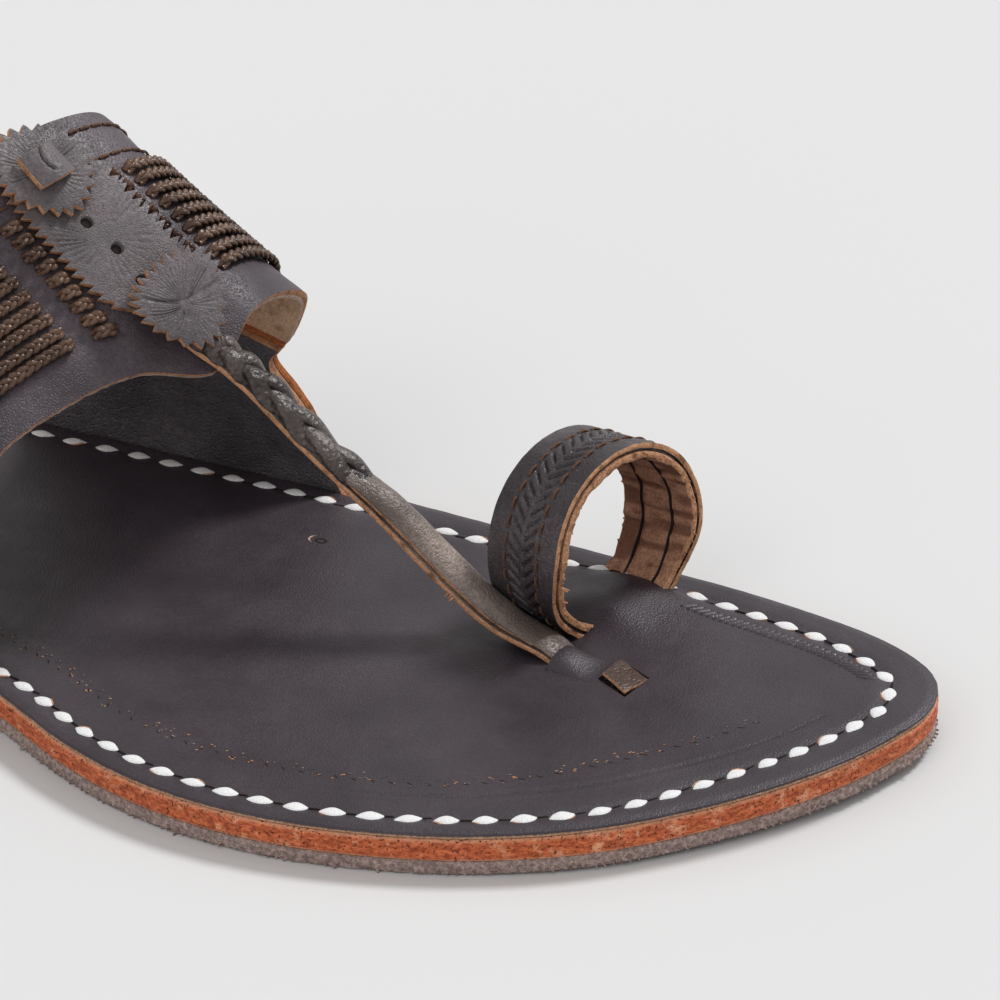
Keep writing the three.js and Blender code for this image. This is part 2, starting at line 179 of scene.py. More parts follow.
class Spline:
    """Centripetal Catmull-Rom curve, as the CAD source draws its curves; t runs from 0 to 1."""

    def __init__(self, points, closed=False):
        self.points = np.asarray(points, float)
        self.closed = closed

    def at(self, t):
        p = self.points
        n = len(p)
        t = np.asarray(t, float) * (n if self.closed else n - 1)
        first = np.floor(t).astype(int)
        if not self.closed:
            first = np.clip(first, 0, n - 2)
            p = np.vstack([2 * p[0] - p[1], p, 2 * p[-1] - p[-2]])
            p0, p1, p2, p3 = (p[first + k] for k in range(4))
        else:
            p0, p1, p2, p3 = (p[(first + k) % n] for k in (-1, 0, 1, 2))
        w = (t - first)[..., None]
        d0, d1, d2 = (
            np.sqrt(np.maximum(np.linalg.norm(b - a, axis=-1, keepdims=True), 1e-6))
            for a, b in ((p0, p1), (p1, p2), (p2, p3))
        )
        m1 = ((p1 - p0) / d0 - (p2 - p0) / (d0 + d1) + (p2 - p1) / d1) * d1
        m2 = ((p2 - p1) / d1 - (p3 - p1) / (d1 + d2) + (p3 - p2) / d2) * d1
        return p1 + m1 * w + (3 * (p2 - p1) - 2 * m1 - m2) * w**2 + (2 * (p1 - p2) + m1 + m2) * w**3

    def tangent(self, t, step=1e-3):
        t = np.asarray(t, float)
        return unit(self.at(np.minimum(1, t + step)) - self.at(np.maximum(0, t - step)))


def lengths(path):
    """Distance from the start of a path to each of its points."""
    return np.concatenate([[0], np.cumsum(np.linalg.norm(np.diff(path, axis=0), axis=1))])


def resample(path, places):
    """Points of a path at these distances from its start."""
    run = lengths(path)
    return np.stack([np.interp(places, run, path[:, k]) for k in range(path.shape[1])], axis=1)


def in_scene(name, data):
    thing = bpy.data.objects.new(name, data)
    bpy.context.scene.collection.objects.link(thing)
    return thing


class Shape:
    """Collects closed surfaces in millimetres, with a material number for each face."""

    def __init__(self):
        self.points = []
        self.faces = []
        self.paint = []
        self.wear_and_painted_light = []
        self.count = 0

    def grid(self, points, paint=0, wrap=False, wear_and_painted_light=0.0):
        """Quads between neighbouring rows and columns; wrap joins the last column to the first."""
        rows, columns = points.shape[:2]
        index = np.arange(rows * columns).reshape(rows, columns) + self.count
        if wrap:
            index = np.concatenate([index, index[:, :1]], axis=1)
        quads = np.stack([index[:-1, :-1], index[:-1, 1:], index[1:, 1:], index[1:, :-1]], axis=-1)
        self.points.append(points.reshape(-1, 3))
        self.wear_and_painted_light.append(np.broadcast_to(wear_and_painted_light, (rows, columns)).ravel())
        self.faces.append(quads.reshape(-1, 4))
        paint = np.broadcast_to(paint, quads.shape[:2])
        self.paint.append(paint.ravel())
        self.count += rows * columns
        return self

    def slab(self, over, under, paint=(0, 1, 2), bulge=0.15, fray=0.05, wrap=False, wear_and_painted_light=0.0):
        """A sheet between two faces with rounded, uneven cut edges; the last argument is the under face's
        value for wear and painted light.
        """
        self.grid(over, paint[0], wrap)
        self.grid(under[::-1], paint[1], wrap, wear_and_painted_light[::-1] if np.ndim(wear_and_painted_light) else wear_and_painted_light)
        last, side = over.shape[0] - 1, over.shape[1] - 1
        loops = [[(row, j) for j in range(side + 1)] for row in (0, last)] if wrap else [
            [(0, j) for j in range(side)] + [(i, side) for i in range(last)]
            + [(last, j) for j in range(side, 0, -1)] + [(i, 0) for i in range(last, 0, -1)]]
        inward = 0 if wrap else 1
        for loop in map(np.array, loops):
            top, low = over[tuple(loop.T)], under[tuple(loop.T)]
            inside = np.clip(loop, [1, inward], [last - 1, side - inward])
            out = unit(top - over[tuple(inside.T)])
            rim = []
            for t in np.linspace(1, 0, RIM_ROWS):
                line = between(top, low, t)
                rough = noise(line, 0.7, 3)[:, None] * fray
                rim.append(line + out * (bulge + rough) * math.sin(math.pi * t))
            self.grid(np.array(rim), paint[2], True)
        return self

    def tube(self, path, half_width, half_height, up=(0, 0, 1), sides=8, paint=0, wear_and_painted_light=0.0):
        """A closed strand along a path; up is the direction of its height, at each point or for all."""
        n = len(path)
        tangent = unit(np.gradient(path, axis=0))
        side = unit(np.cross(np.broadcast_to(up, path.shape), tangent))
        top = np.cross(tangent, side)
        angle = np.linspace(0, 2 * math.pi, sides, endpoint=False)
        wide = np.broadcast_to(half_width, n)[:, None, None] * np.cos(angle)[None, :, None]
        high = np.broadcast_to(half_height, n)[:, None, None] * np.sin(angle)[None, :, None]
        rings = path[:, None] + side[:, None] * wide + top[:, None] * high
        first = np.broadcast_to(path[:1, None], (1, sides, 3))
        last = np.broadcast_to(path[-1:, None], (1, sides, 3))
        if np.ndim(wear_and_painted_light):
            wear_and_painted_light = np.concatenate([[wear_and_painted_light[0]], wear_and_painted_light, [wear_and_painted_light[-1]]])[:, None]
        return self.grid(np.concatenate([first, rings, last]), paint, True, wear_and_painted_light)

    def build(self, name, materials, replaces=(), sharp=50, slot="dark_leather"):
        """Makes the piece in the row frame, with shared corners and smooth faces."""
        points = (np.concatenate(self.points) + SHIFT) * MM
        mesh = bpy.data.meshes.new(name)
        mesh.from_pydata(points.tolist(), [], np.concatenate(self.faces).tolist())
        mesh.polygons.foreach_set("material_index", np.concatenate(self.paint).astype(np.int32))
        # A per-vertex value for the materials: real wear, a painted highlight on the midsole's rims, and
        # painted shade in the ring lining's folds.
        attribute = mesh.attributes.new("wear_and_painted_light", "FLOAT", "POINT")
        attribute.data.foreach_set("value", np.concatenate(self.wear_and_painted_light).astype(np.float32))
        for material in materials:
            mesh.materials.append(material)
        shape = bmesh.new()
        shape.from_mesh(mesh)
        bmesh.ops.remove_doubles(shape, verts=shape.verts, dist=2e-6)
        bmesh.ops.dissolve_degenerate(shape, edges=shape.edges, dist=1e-7)
        bmesh.ops.recalc_face_normals(shape, faces=shape.faces)
        shape.to_mesh(mesh)
        shape.free()
        mesh.polygons.foreach_set("use_smooth", [True] * len(mesh.polygons))
        mesh.set_sharp_from_angle(angle=math.radians(sharp))
        piece = in_scene(name, mesh)
        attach(piece, "root")
        if replaces:
            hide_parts(*replaces)
        return piece


# ---- materials
class Look:
    """A procedural material in the row frame's own coordinates; sizes are in millimetres."""

    def __init__(self, name, roughness=0.5, specular=0.5):
        self.material = bpy.data.materials.new(name)
        self.material.use_nodes = True
        self.tree = self.material.node_tree
        self.shader = self.tree.nodes["Principled BSDF"]
        self.place = self.add("ShaderNodeTexCoord").outputs["Object"]
        self.shader.inputs["Roughness"].default_value = roughness
        self.shader.inputs["Specular IOR Level"].default_value = specular

    def add(self, kind, inputs=None, **settings):
        node = self.tree.nodes.new(kind)
        for name, value in settings.items():
            setattr(node, name, value)
        for name, value in (inputs or {}).items():
            self.feed(node.inputs[name], value)
        return node

    def feed(self, socket, value):
        if isinstance(value, bpy.types.NodeSocket):
            self.tree.links.new(value, socket)
        elif isinstance(value, tuple) and len(value) == 3 and socket.type == "RGBA":
            socket.default_value = (*value, 1)
        else:
            socket.default_value = value

    def stretched(self, scale):
        return self.add("ShaderNodeMapping", {"Vector": self.place, "Scale": scale}).outputs["Vector"]

    def cloud(self, size, detail=2.0, rough=0.5, place=None):
        inputs = {"Vector": place or self.place, "Scale": 1 / (size * MM)}
        inputs.update({"Detail": detail, "Roughness": rough})
        return self.add("ShaderNodeTexNoise", inputs).outputs["Fac"]

    def cells(self, size):
        inputs = {"Vector": self.place, "Scale": 1 / (size * MM)}
        return self.add("ShaderNodeTexVoronoi", inputs).outputs["Distance"]

    def remap(self, value, low, high, start=0.0, end=1.0):
        inputs = {"Value": value, "From Min": low, "From Max": high, "To Min": start, "To Max": end}
        return self.add("ShaderNodeMapRange", inputs).outputs["Result"]

    def mix(self, factor, a, b):
        node = self.add("ShaderNodeMix", data_type="RGBA")
        for number, value in ((0, factor), (6, a), (7, b)):
            self.feed(node.inputs[number], value)
        return node.outputs[2]

    def math(self, operation, a, b):
        return self.add("ShaderNodeMath", {0: a, 1: b}, operation=operation).outputs[0]

    # Reads the per-vertex value that marks wear, the painted highlight on the midsole's rims, and the
    # painted shade in the ring lining's folds.
    def worn(self):
        return self.add("ShaderNodeAttribute", attribute_name="wear_and_painted_light").outputs["Fac"]

    def bump(self, *layers):
        """Each layer is (height, depth in mm)."""
        normal = None
        for height, depth in layers:
            inputs = {"Height": height, "Distance": depth * MM, "Strength": 1.0}
            if normal:
                inputs["Normal"] = normal
            normal = self.add("ShaderNodeBump", inputs).outputs["Normal"]
        self.tree.links.new(normal, self.shader.inputs["Normal"])

    def done(self, colour, roughness=None):
        self.feed(self.shader.inputs["Base Color"], colour)
        if roughness is not None:
            self.feed(self.shader.inputs["Roughness"], roughness)
        return self.material


TAN = (0.40, 0.20, 0.105)
PALE_TAN = (0.56, 0.36, 0.235)


def finished_leather(name, dark, light, roughness, grain=0.55, depth=0.05, specks=0.0):
    """Dyed leather: soft patches, fine pores, faint creases, and raw tan where the per-vertex value for wear
    is high.
    specks is the share of small spots at which the dye has rubbed through."""
    look = Look(name)
    patches = look.remap(look.cloud(17, 3), 0.35, 0.65)
    fine = look.remap(look.cloud(0.8, 3, 0.6), 0.35, 0.65)
    base = look.mix(look.math("MULTIPLY", fine, 0.6), look.mix(patches, dark, light), dark)
    if specks:
        rubbed = look.remap(look.cloud(0.9, 2), 0.78 - specks, 0.80 - specks)
        base = look.mix(rubbed, base, (0.30, 0.20, 0.13))
    raw = look.mix(look.remap(look.cloud(0.5, 2), 0.35, 0.65), TAN, PALE_TAN)
    spots = look.math("MULTIPLY", look.cloud(0.45, 2), 0.5)
    worn = look.remap(look.math("ADD", look.worn(), spots), 0.55, 0.85)
    pores = look.remap(look.cells(grain), 0.0, 0.55)
    creases = look.cloud(3.5, 4, 0.6, look.stretched((1, 0.35, 1)))
    look.bump((pores, depth), (creases, depth * 2.5), (look.cloud(0.25, 2), depth * 0.5))
    gloss = look.remap(look.cloud(6, 3), 0.3, 0.7, roughness - 0.06, roughness + 0.08)
    return look.done(look.mix(worn, base, raw), look.math("ADD", gloss, look.math("MULTIPLY", worn, 0.3)))


def raw_leather(name, dark, light, stain_and_shade, grain=0.35, depth=0.12):
    """Undyed cut edges and suede: fibrous, matt, stained in patches, and darker where the per-vertex value
    is high, which on the ring's suede lining is painted shade in the hollows of its folds.
    """
    look = Look(name, roughness=0.88, specular=0.2)
    fibres = look.remap(look.cloud(grain, 3, 0.7), 0.3, 0.7)
    stains_and_shade = look.math("MAXIMUM", look.remap(look.cloud(2.4, 3, 0.65), 0.5, 0.72), look.worn())
    colour = look.mix(look.math("MULTIPLY", stains_and_shade, 0.8), look.mix(fibres, dark, light), stain_and_shade)
    look.bump((fibres, depth), (look.cloud(1.1, 3), depth * 2))
    return look.done(colour)


def russet_edge():
    """The midsole's dyed edge: mottled russet, pale where it is rubbed, paler along its top and bottom rims,
    where a highlight is painted on together with rubbing, and dark in its pores.
    """
    look = Look("russet_edge", roughness=0.6, specular=0.35)
    along = look.stretched((1, 1, 2.6))
    mottled = look.remap(look.cloud(1.5, 4, 0.65, along), 0.36, 0.66)
    colour = look.mix(mottled, (0.32, 0.072, 0.028), (0.68, 0.205, 0.088))
    rubbed = look.remap(look.cloud(3.2, 4, 0.7), 0.54, 0.68)
    colour = look.mix(look.math("MULTIPLY", rubbed, 0.7), colour, (0.82, 0.46, 0.29))
    # Pale top and bottom rims: a painted highlight on the rounded rims, together with rubbed wear.
    edge = look.remap(look.worn(), 0.2, 0.9)
    colour = look.mix(look.math("MULTIPLY", edge, 0.8), colour, (0.78, 0.45, 0.29))
    pits = look.remap(look.cloud(0.45, 2, 0.6), 0.3, 0.42)
    colour = look.mix(pits, (0.12, 0.035, 0.015), colour)
    look.bump((pits, 0.08), (look.cloud(0.9, 3), 0.15))
    return look.done(colour)


def crumb_rubber():
    look = Look("crumb_rubber", roughness=0.86, specular=0.3)
    crumbs = look.remap(look.cloud(0.8, 3, 0.6), 0.35, 0.65)
    colour = look.mix(crumbs, (0.25, 0.185, 0.17), (0.50, 0.39, 0.36))
    specks = look.remap(look.cloud(0.55, 1), 0.68, 0.72)
    colour = look.mix(specks, colour, (0.62, 0.44, 0.34))
    look.bump((crumbs, 0.3), (look.cloud(0.3, 2), 0.1))
    return look.done(colour)


def thread(name, dark, light, roughness=0.7):
    look = Look(name, roughness=roughness, specular=0.3)
    strands = look.remap(look.cloud(0.22, 2, 0.6), 0.3, 0.7)
    look.bump((strands, 0.05))
    return look.done(look.mix(strands, dark, light))


LEATHER_TONES = {  # dark, light, roughness, grain, depth of the grain, share of rubbed specks
    "insole": ((0.045, 0.035, 0.043), (0.070, 0.057, 0.068), 0.42, 0.4, 0.045),
    "band": ((0.052, 0.040, 0.047), (0.125, 0.100, 0.115), 0.44, 0.38, 0.075),
    "overlay": ((0.080, 0.068, 0.070), (0.198, 0.172, 0.180), 0.46, 0.36, 0.085),
    # ear: a lighter copy of the band's dyed leather, painted fill light for the ears' insides in the shade
    # under the band; the ring's core uses it too.
    "ear": ((0.085, 0.077, 0.085), (0.190, 0.175, 0.190), 0.33, 0.55, 0.18),
    "ring": ((0.042, 0.033, 0.036), (0.120, 0.100, 0.106), 0.38, 0.45, 0.11, 0.03),
    "braid": ((0.036, 0.027, 0.025), (0.150, 0.122, 0.115), 0.25, 1.1, 0.20, 0.07),
    "strap": ((0.125, 0.096, 0.083), (0.365, 0.295, 0.262), 0.40, 0.5, 0.12),
    "knot": ((0.070, 0.042, 0.033), (0.145, 0.095, 0.075), 0.42, 0.8, 0.10, 0.02),
    "cord": ((0.040, 0.020, 0.013), (0.215, 0.128, 0.088), 0.32, 0.6, 0.10),
}
LEATHER = {name: finished_leather(f"{name}_leather", *tones) for name, tones in LEATHER_TONES.items()}
CUT_EDGE = raw_leather("cut_edge", (0.44, 0.22, 0.12), (0.68, 0.42, 0.27), (0.16, 0.075, 0.04))
PALE_EDGE = raw_leather("pale_edge", (0.46, 0.34, 0.28), (0.72, 0.58, 0.50), (0.24, 0.15, 0.11))
SUEDE = raw_leather("suede", (0.40, 0.205, 0.13), (0.68, 0.42, 0.29), (0.20, 0.09, 0.06), 0.4, 0.2)
# A lighter copy of the suede: painted fill light for the band's underside, which lies in shade.
BAND_SUEDE_PAINTED_LIGHT = raw_leather("band_suede_painted_light", (0.58, 0.39, 0.26), (0.88, 0.66, 0.49), (0.42, 0.25, 0.16), 0.4, 0.14)
ORANGE_EDGE = raw_leather("orange_edge", (0.36, 0.125, 0.05), (0.62, 0.28, 0.13), (0.14, 0.05, 0.02))
RUSSET = russet_edge()
RUBBER = crumb_rubber()
WHITE_THREAD = thread("white_thread", (0.66, 0.65, 0.64), (0.90, 0.90, 0.91), 0.55)
BROWN_THREAD = thread("brown_thread", (0.075, 0.038, 0.025), (0.20, 0.115, 0.075))
# Dark thread, also used as painted shade inside the pricked hole and the panel's holes.
DARK_THREAD_AND_SHADE = thread("dark_thread_and_shade", (0.012, 0.008, 0.007), (0.035, 0.022, 0.018))


# ---- the sole's outline, from the CAD
def outsole_stations():
    """(x, lateral y, medial y, underside z) of the CAD outsole at each of its stations."""
    corners = np.array([v.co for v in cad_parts["outsole"].data.vertices]) / MM - SHIFT
    rows = []
    for x in np.unique(corners[:, 0].round(2)):
        here = corners[np.abs(corners[:, 0] - x) < 0.02]
        rows.append((x, here[:, 1].min(), here[:, 1].max(), here[:, 2].min()))
    return np.array(rows)


STATIONS = outsole_stations()
_sides = np.vstack([STATIONS[:, [0, 1]], STATIONS[-2:0:-1, [0, 2]]])
OUTLINE = Spline(np.column_stack([_sides, np.zeros(len(_sides))]), closed=True).at(np.linspace(0, 1, 6001))
TOE_INDEX = int(OUTLINE[:, 0].argmax())


def edges(x):
    """The sole's lateral and medial edges at x."""
    lateral = np.interp(x, OUTLINE[:TOE_INDEX, 0], OUTLINE[:TOE_INDEX, 1])
    medial = np.interp(x, OUTLINE[TOE_INDEX:, 0][::-1], OUTLINE[TOE_INDEX:, 1][::-1])
    return lateral, medial


def rise(x):
    """Height of the sole's underside over the floor."""
    return np.interp(x, STATIONS[:, 0], STATIONS[:, 3])


def ear_notch(x, ear, run=5.0):
    """How far the insole stands back from the edge beside an ear."""
    inside = smooth((ear["front"] + 2 * run - x) / run) * smooth((x - ear["back"] + 2 * run) / run)
    return (EAR_WALL + 2 * GAP) * inside


def inset_path(lateral, medial, *steps):
    """A closed path this far inside the outline on each side; each step, (x, run, lateral mm, medial mm),
    moves it further in ahead of x."""
    path = resample(OUTLINE, np.arange(0, lengths(OUTLINE)[-1]))[:, :2]
    ahead = unit(np.roll(path, -1, axis=0) - np.roll(path, 1, axis=0))
    inward = np.column_stack([-ahead[:, 1], ahead[:, 0]])
    on_medial = inward[:, 1] < 0
    depth = np.where(on_medial, medial, lateral)
    for x, run, more_lateral, more_medial in steps:
        depth = depth + np.where(on_medial, more_medial, more_lateral) * smooth((path[:, 0] - x) / run)
    for _ in range(12):  # the change from one side to the other is eased
        depth = (np.roll(depth, 1) + depth + np.roll(depth, -1)) / 3
    return path + inward * depth[:, None]


def nearest(points, path):
    """Distance from each point to a path's closest corner, and that corner's number."""
    best = np.full(len(points), 1e9)
    which = np.zeros(len(points), int)
    for start in range(0, len(points), 4000):
        part = points[start : start + 4000]
        gap = np.linalg.norm(part[:, None] - path[None], axis=2)
        which[start : start + 4000] = gap.argmin(axis=1)
        best[start : start + 4000] = gap.min(axis=1)
    return best, which


LOOP_HALF = 560  # corners of a sole loop from heel to toe
SPINE = (-LENGTH / 2 + 34, LENGTH / 2 - 38)  # x of the ends of the line that the sole's rings close on


def sole_loop(notch=False):
    """Corners round the sole, and for each the point inside that it moves towards."""
    x = -LENGTH / 2 * np.cos(np.linspace(0, np.pi, LOOP_HALF))
    lateral, medial = edges(x)
    if notch:
        lateral = lateral + ear_notch(x, EARS["lateral"])
        medial = medial - ear_notch(x, EARS["medial"])
    loop = np.vstack([np.column_stack([x, lateral]), np.column_stack([x, medial])[-2:0:-1]])
    inner_x = np.clip(loop[:, 0], *SPINE)
    low, high = edges(inner_x)
    return loop, np.column_stack([inner_x, (low + high) / 2])


def heel_loop():
    """The same round the heel lift, which ends in a straight breast."""
    loop, inner = sole_loop()
    behind = loop[:, 0] < HEEL_BREAST
    lateral, medial = edges(HEEL_BREAST)
    start = int(np.argmin(behind))  # the first corner ahead of the breast
    breast = np.column_stack([np.full(60, HEEL_BREAST), np.linspace(lateral, medial, 60)])
    rear = np.vstack([loop[:start], breast, loop[len(loop) - start + 1 :]])
    low, high = edges(np.clip(rear[:, 0], SPINE[0], HEEL_BREAST - 6))
    return rear, np.column_stack([np.clip(rear[:, 0], SPINE[0], HEEL_BREAST - 6), (low + high) / 2])


def sole_layer(name, material, slot, loop, inner, top, bottom, profile, insets, replaces):
    """A layer of the sole: rings from the spine to the edge, the edge's profile, and plain rings below.
    top and bottom give heights at (x, y); profile rows are share of the height, mm outwards, fray, and a
    per-vertex value that is raw wear on the insole's edge and, on the midsole's rims, a painted highlight
    together with rubbing."""
    rows, shades = [], []

    def ring(flat, height, shade=0.0):
        rows.append(np.column_stack([flat, height]))
        shades.append(np.full(len(loop), shade))

    for inset in insets[::-1]:
        flat = between(loop, inner, inset)
        ring(flat, top(*flat.T))
    out = unit(loop - inner)
    for share, push, fray, shade in profile:
        level = np.column_stack([loop, np.full(len(loop), 9 * share)])
        rough = fray * (noise(level, 1.3, 5) + 0.6 * noise(level, 0.6, 6))
        flat = loop + out * (push + rough)[:, None]
        ragged = 0.5 * rough if share else 0
        ring(flat, between(top(*flat.T), bottom(*flat.T), share) + ragged, shade)
    for inset in COARSE:
        flat = between(loop, inner, inset)
        ring(flat, bottom(*flat.T))
    shape = Shape().grid(np.array(rows), 0, True, np.array(shades))
    return shape.build(name, [material], replaces, slot=slot)


# ---- sole layers
COARSE = np.array([0.02, 0.06, 0.15, 0.3, 0.5, 0.75, 1.0])
FINE = np.concatenate([np.linspace(0.008, 0.3, 26), np.linspace(0.32, 0.56, 14), np.linspace(0.6, 1, 12)])


def over_floor(height):
    return lambda x, y: rise(x) + height


def outsole():
    profile = [(0.0, -0.25, 0.05, 0), (0.15, 0.0, 0.1, 0), (0.4, 0.1, 0.16, 0), (0.62, 0.0, 0.22, 0),
               (0.8, 0.12, 0.3, 0), (0.93, 0.0, 0.3, 0), (1.0, -0.45, 0.12, 0)]
    sole_layer("outsole_rubber", RUBBER, "rubber", *sole_loop(), over_floor(OUTSOLE_THICK), over_floor(0),
               profile, COARSE, ["outsole"])


def outsole_nubs():
    """Crumbs and whiskers of rubber left along the outsole's lower edge."""
    shape = Shape()
    rng = np.random.default_rng(SEED + 6)
    t = np.linspace(0, 1, 4)[:, None]
    for (x, y), _, left in along_path(OUTLINE[::4, :2], NUB_PITCH):
        if x < HEEL_BREAST:
            continue
        out = np.append(-left, 0)
        size = rng.uniform(0.25, 0.6) * (1.6 if rng.random() < 0.12 else 1)
        start = np.array([x, y, rise(x) + rng.uniform(0.35, 0.7)])
        path = start + between(-0.3, size, t) * out - 0.3 * t * [0, 0, size]
        width = rng.uniform(0.15, 0.5)
        shape.tube(path, [width, width, 0.7 * width, 0.2 * width], 0.22, sides=6)
    shape.build("outsole_nubs", [RUBBER], slot="rubber")


def heel_lift():
    profile = [(0.0, -0.1, 0.06, 0), (0.12, 0.05, 0.12, 0), (0.5, 0.0, 0.18, 0), (0.85, 0.1, 0.22, 0),
               (1.0, -0.4, 0.08, 0)]
    sole_layer("heel_lift_rubber", RUBBER, "rubber", *heel_loop(), over_floor(0), lambda x, y: 0 * x,
               profile, COARSE, ["heel_lift"])


def midsole():
    # The last column makes the top and bottom rims pale: a painted highlight on the rounded rims, together
    # with rubbing.
    profile = [(0.0, -0.35, 0.03, 1), (0.08, 0.02, 0.06, 0.55), (0.25, 0.22, 0.08, 0), (0.42, 0.12, 0.06, 0),
               (0.5, 0.02, 0.06, 0), (0.6, 0.14, 0.06, 0), (0.78, 0.2, 0.08, 0), (0.92, 0.02, 0.08, 0.55),
               (1.0, -0.3, 0.05, 1)]
    sole_layer("midsole_leather", RUSSET, "russet_leather", *sole_loop(), over_floor(INSOLE_BASE - 0.04),
               over_floor(OUTSOLE_THICK + 0.04), profile, COARSE, ["midsole"])


STITCH_PATH = inset_path(4.2, 6.6, (112, 24, 2.6, 1.2))
TOOL_PATH = inset_path(12.6, 11.5, (10, 60, 2.7, 0), (85, 40, 3.6, 0))
RUB_PATH = inset_path(10.8, 9.5, (85, 25, 1.6, 0))  # a pressed line outside the tooled marks
ROPE_PATH = inset_path(10.9, 10.9)
RING_FEET = np.array([[79.4, 23.9], [82.0, 49.6]])  # where the toe ring's legs enter the insole
HUMP_HIGH = 3.1  # swelling between them
HUMP_RADIUS = 9.5


def middle_y(x):
    lateral, medial = edges(x)
    return (lateral + medial) / 2


def insole_relief(x, y):
    """How far the insole's grain side stands above its plain height."""
    flat = np.column_stack([x, y])
    from_stitches, _ = nearest(flat, STITCH_PATH)
    from_edge, _ = nearest(flat, OUTLINE[::6, :2])
    from_line, corner = nearest(flat, RUB_PATH)
    pressed = (RUB_PATH[corner, 1] < middle_y(x)) * smooth((x - 50) / 40)
    line = 0.14 * (bell((from_line - 0.9) / 0.6) - 1.4 * bell(from_line / 0.6))
    axis = RING_FEET[1] - RING_FEET[0]
    span = np.linalg.norm(axis)
    offset = flat - RING_FEET.mean(axis=0)
    across = offset @ axis / span
    along = offset @ np.array([-axis[1], axis[0]]) / span
    hump = HUMP_HIGH * bell(across / HUMP_RADIUS, 4) * bell(along / HUMP_RADIUS)
    waves = 0.22 * noise(np.column_stack([flat, 0 * x]), 34, 8) * smooth(from_edge / 14)
    trough = -0.38 * bell(from_stitches / 1.5)
    rolled_edge = -0.4 * bell(from_edge / 1.1)
    return trough + rolled_edge + line * pressed + hump + waves


def insole_height(x, y):
    return rise(x) + INSOLE_TOP + insole_relief(x, y)


SLOT = np.array([[90.8, 20.1], [97.9, 16.8], [97.2, 9.2], [90.3, 12.6]])  # medial rear corner first


def cut_slot(piece):
    """Cuts the skewed slot ahead of the thong out of the insole."""
    corners = [(*corner, height) for height in (0, 2 * INSOLE_TOP) for corner in SLOT]
    sides = [(k + 4, (k + 1) % 4 + 4, (k + 1) % 4, k) for k in range(4)]
    mesh = bpy.data.meshes.new("slot")
    mesh.from_pydata(((np.array(corners) + SHIFT) * MM).tolist(), [], [(0, 1, 2, 3), (7, 6, 5, 4), *sides])
    cutter = in_scene("slot", mesh)
    bpy.context.view_layer.update()
    cut = piece.modifiers.new("slot", "BOOLEAN")
    cut.object, cut.operation, cut.solver = cutter, "DIFFERENCE", "MANIFOLD"
    shown = piece.evaluated_get(bpy.context.evaluated_depsgraph_get())
    mesh = bpy.data.meshes.new_from_object(shown)
    piece.modifiers.clear()
    piece.data = mesh
    bpy.data.objects.remove(cutter)


def insole():
    profile = [(0.0, -0.2, 0.02, 0), (0.22, 0.02, 0.05, 0.15), (0.5, 0.1, 0.1, 0.5), (0.8, 0.05, 0.12, 0.62),
               (1.0, -0.1, 0.08, 0.2)]
    cut_slot(sole_layer("insole_leather", LEATHER["insole"], "dark_leather", *sole_loop(notch=True),
                        insole_height, over_floor(INSOLE_BASE + 0.02), profile, FINE, ["insole"]))


def along_path(path, pitch):
    """Evenly spaced (centre, direction, direction to its left) on a closed path."""
    closed = np.vstack([path, path[:1]])
    run = lengths(closed)[-1]
    count = round(run / pitch)
    places = np.arange(count) * run / count
    ahead = unit(resample(closed, (places + 1) % run) - resample(closed, (places - 1) % run))
    return zip(resample(closed, places), ahead, ahead[:, ::-1] * [-1, 1])


def on_insole(flat, height):
    return np.column_stack([flat, insole_height(*flat.T) + height])


def white_stitches():
    """Pointed stitches of flat white cord, a dark thread dipping between them, and raw lips beside some."""
    leaves, dips, lips = Shape(), Shape(), Shape()
    rng = np.random.default_rng(SEED)
    t = np.linspace(-1, 1, 15)
    leaf = np.maximum(0, 1 - np.abs(t) ** 1.7)
    for centre, ahead, left in along_path(STITCH_PATH, STITCH_PITCH):
        turn = rng.normal(0, 0.05) + 0.12
        long = STITCH_LONG * rng.uniform(0.93, 1.08) / 2
        wide = STITCH_WIDE * rng.uniform(0.9, 1.1) / 2
        way = np.append(ahead * math.cos(turn) + left * math.sin(turn), 0)
        side = np.array([-way[1], way[0], 0])
        middle = on_insole(centre[None], 0)[0]
        line = middle + way * (t * long)[:, None]
        path = line + side * (0.22 * t**3 * wide)[:, None]
        path[:, 2] += STITCH_PROUD * (1 - t**2) - 0.18
        leaves.tube(path, np.maximum(0.05, wide * leaf), np.maximum(0.04, 0.34 * leaf**0.5), sides=10)
        dip = middle + way * (np.linspace(long * 0.92, STITCH_PITCH - long * 0.92, 6))[:, None]
        dip[:, 2] += [0.02, 0.1, 0.08, 0.08, 0.1, 0.02]
        dips.tube(dip, 0.18, 0.14, sides=6)
        if rng.random() < 0.6:
            part = slice(1, 9) if rng.random() < 0.6 else slice(7, 14)
            off = side * ((wide * leaf + 0.1) * rng.choice([-1, 1]))[:, None]
            lip = (line + off + [0, 0, 0.06])[part]
            lips.tube(lip, 0.2 * np.sin(np.linspace(0.3, 2.8, len(lip))), 0.18, sides=5)
    leaves.build("white_stitches", [WHITE_THREAD])
    dips.build("stitch_dips", [DARK_THREAD_AND_SHADE])
    lips.build("stitch_hole_lips", [CUT_EDGE])


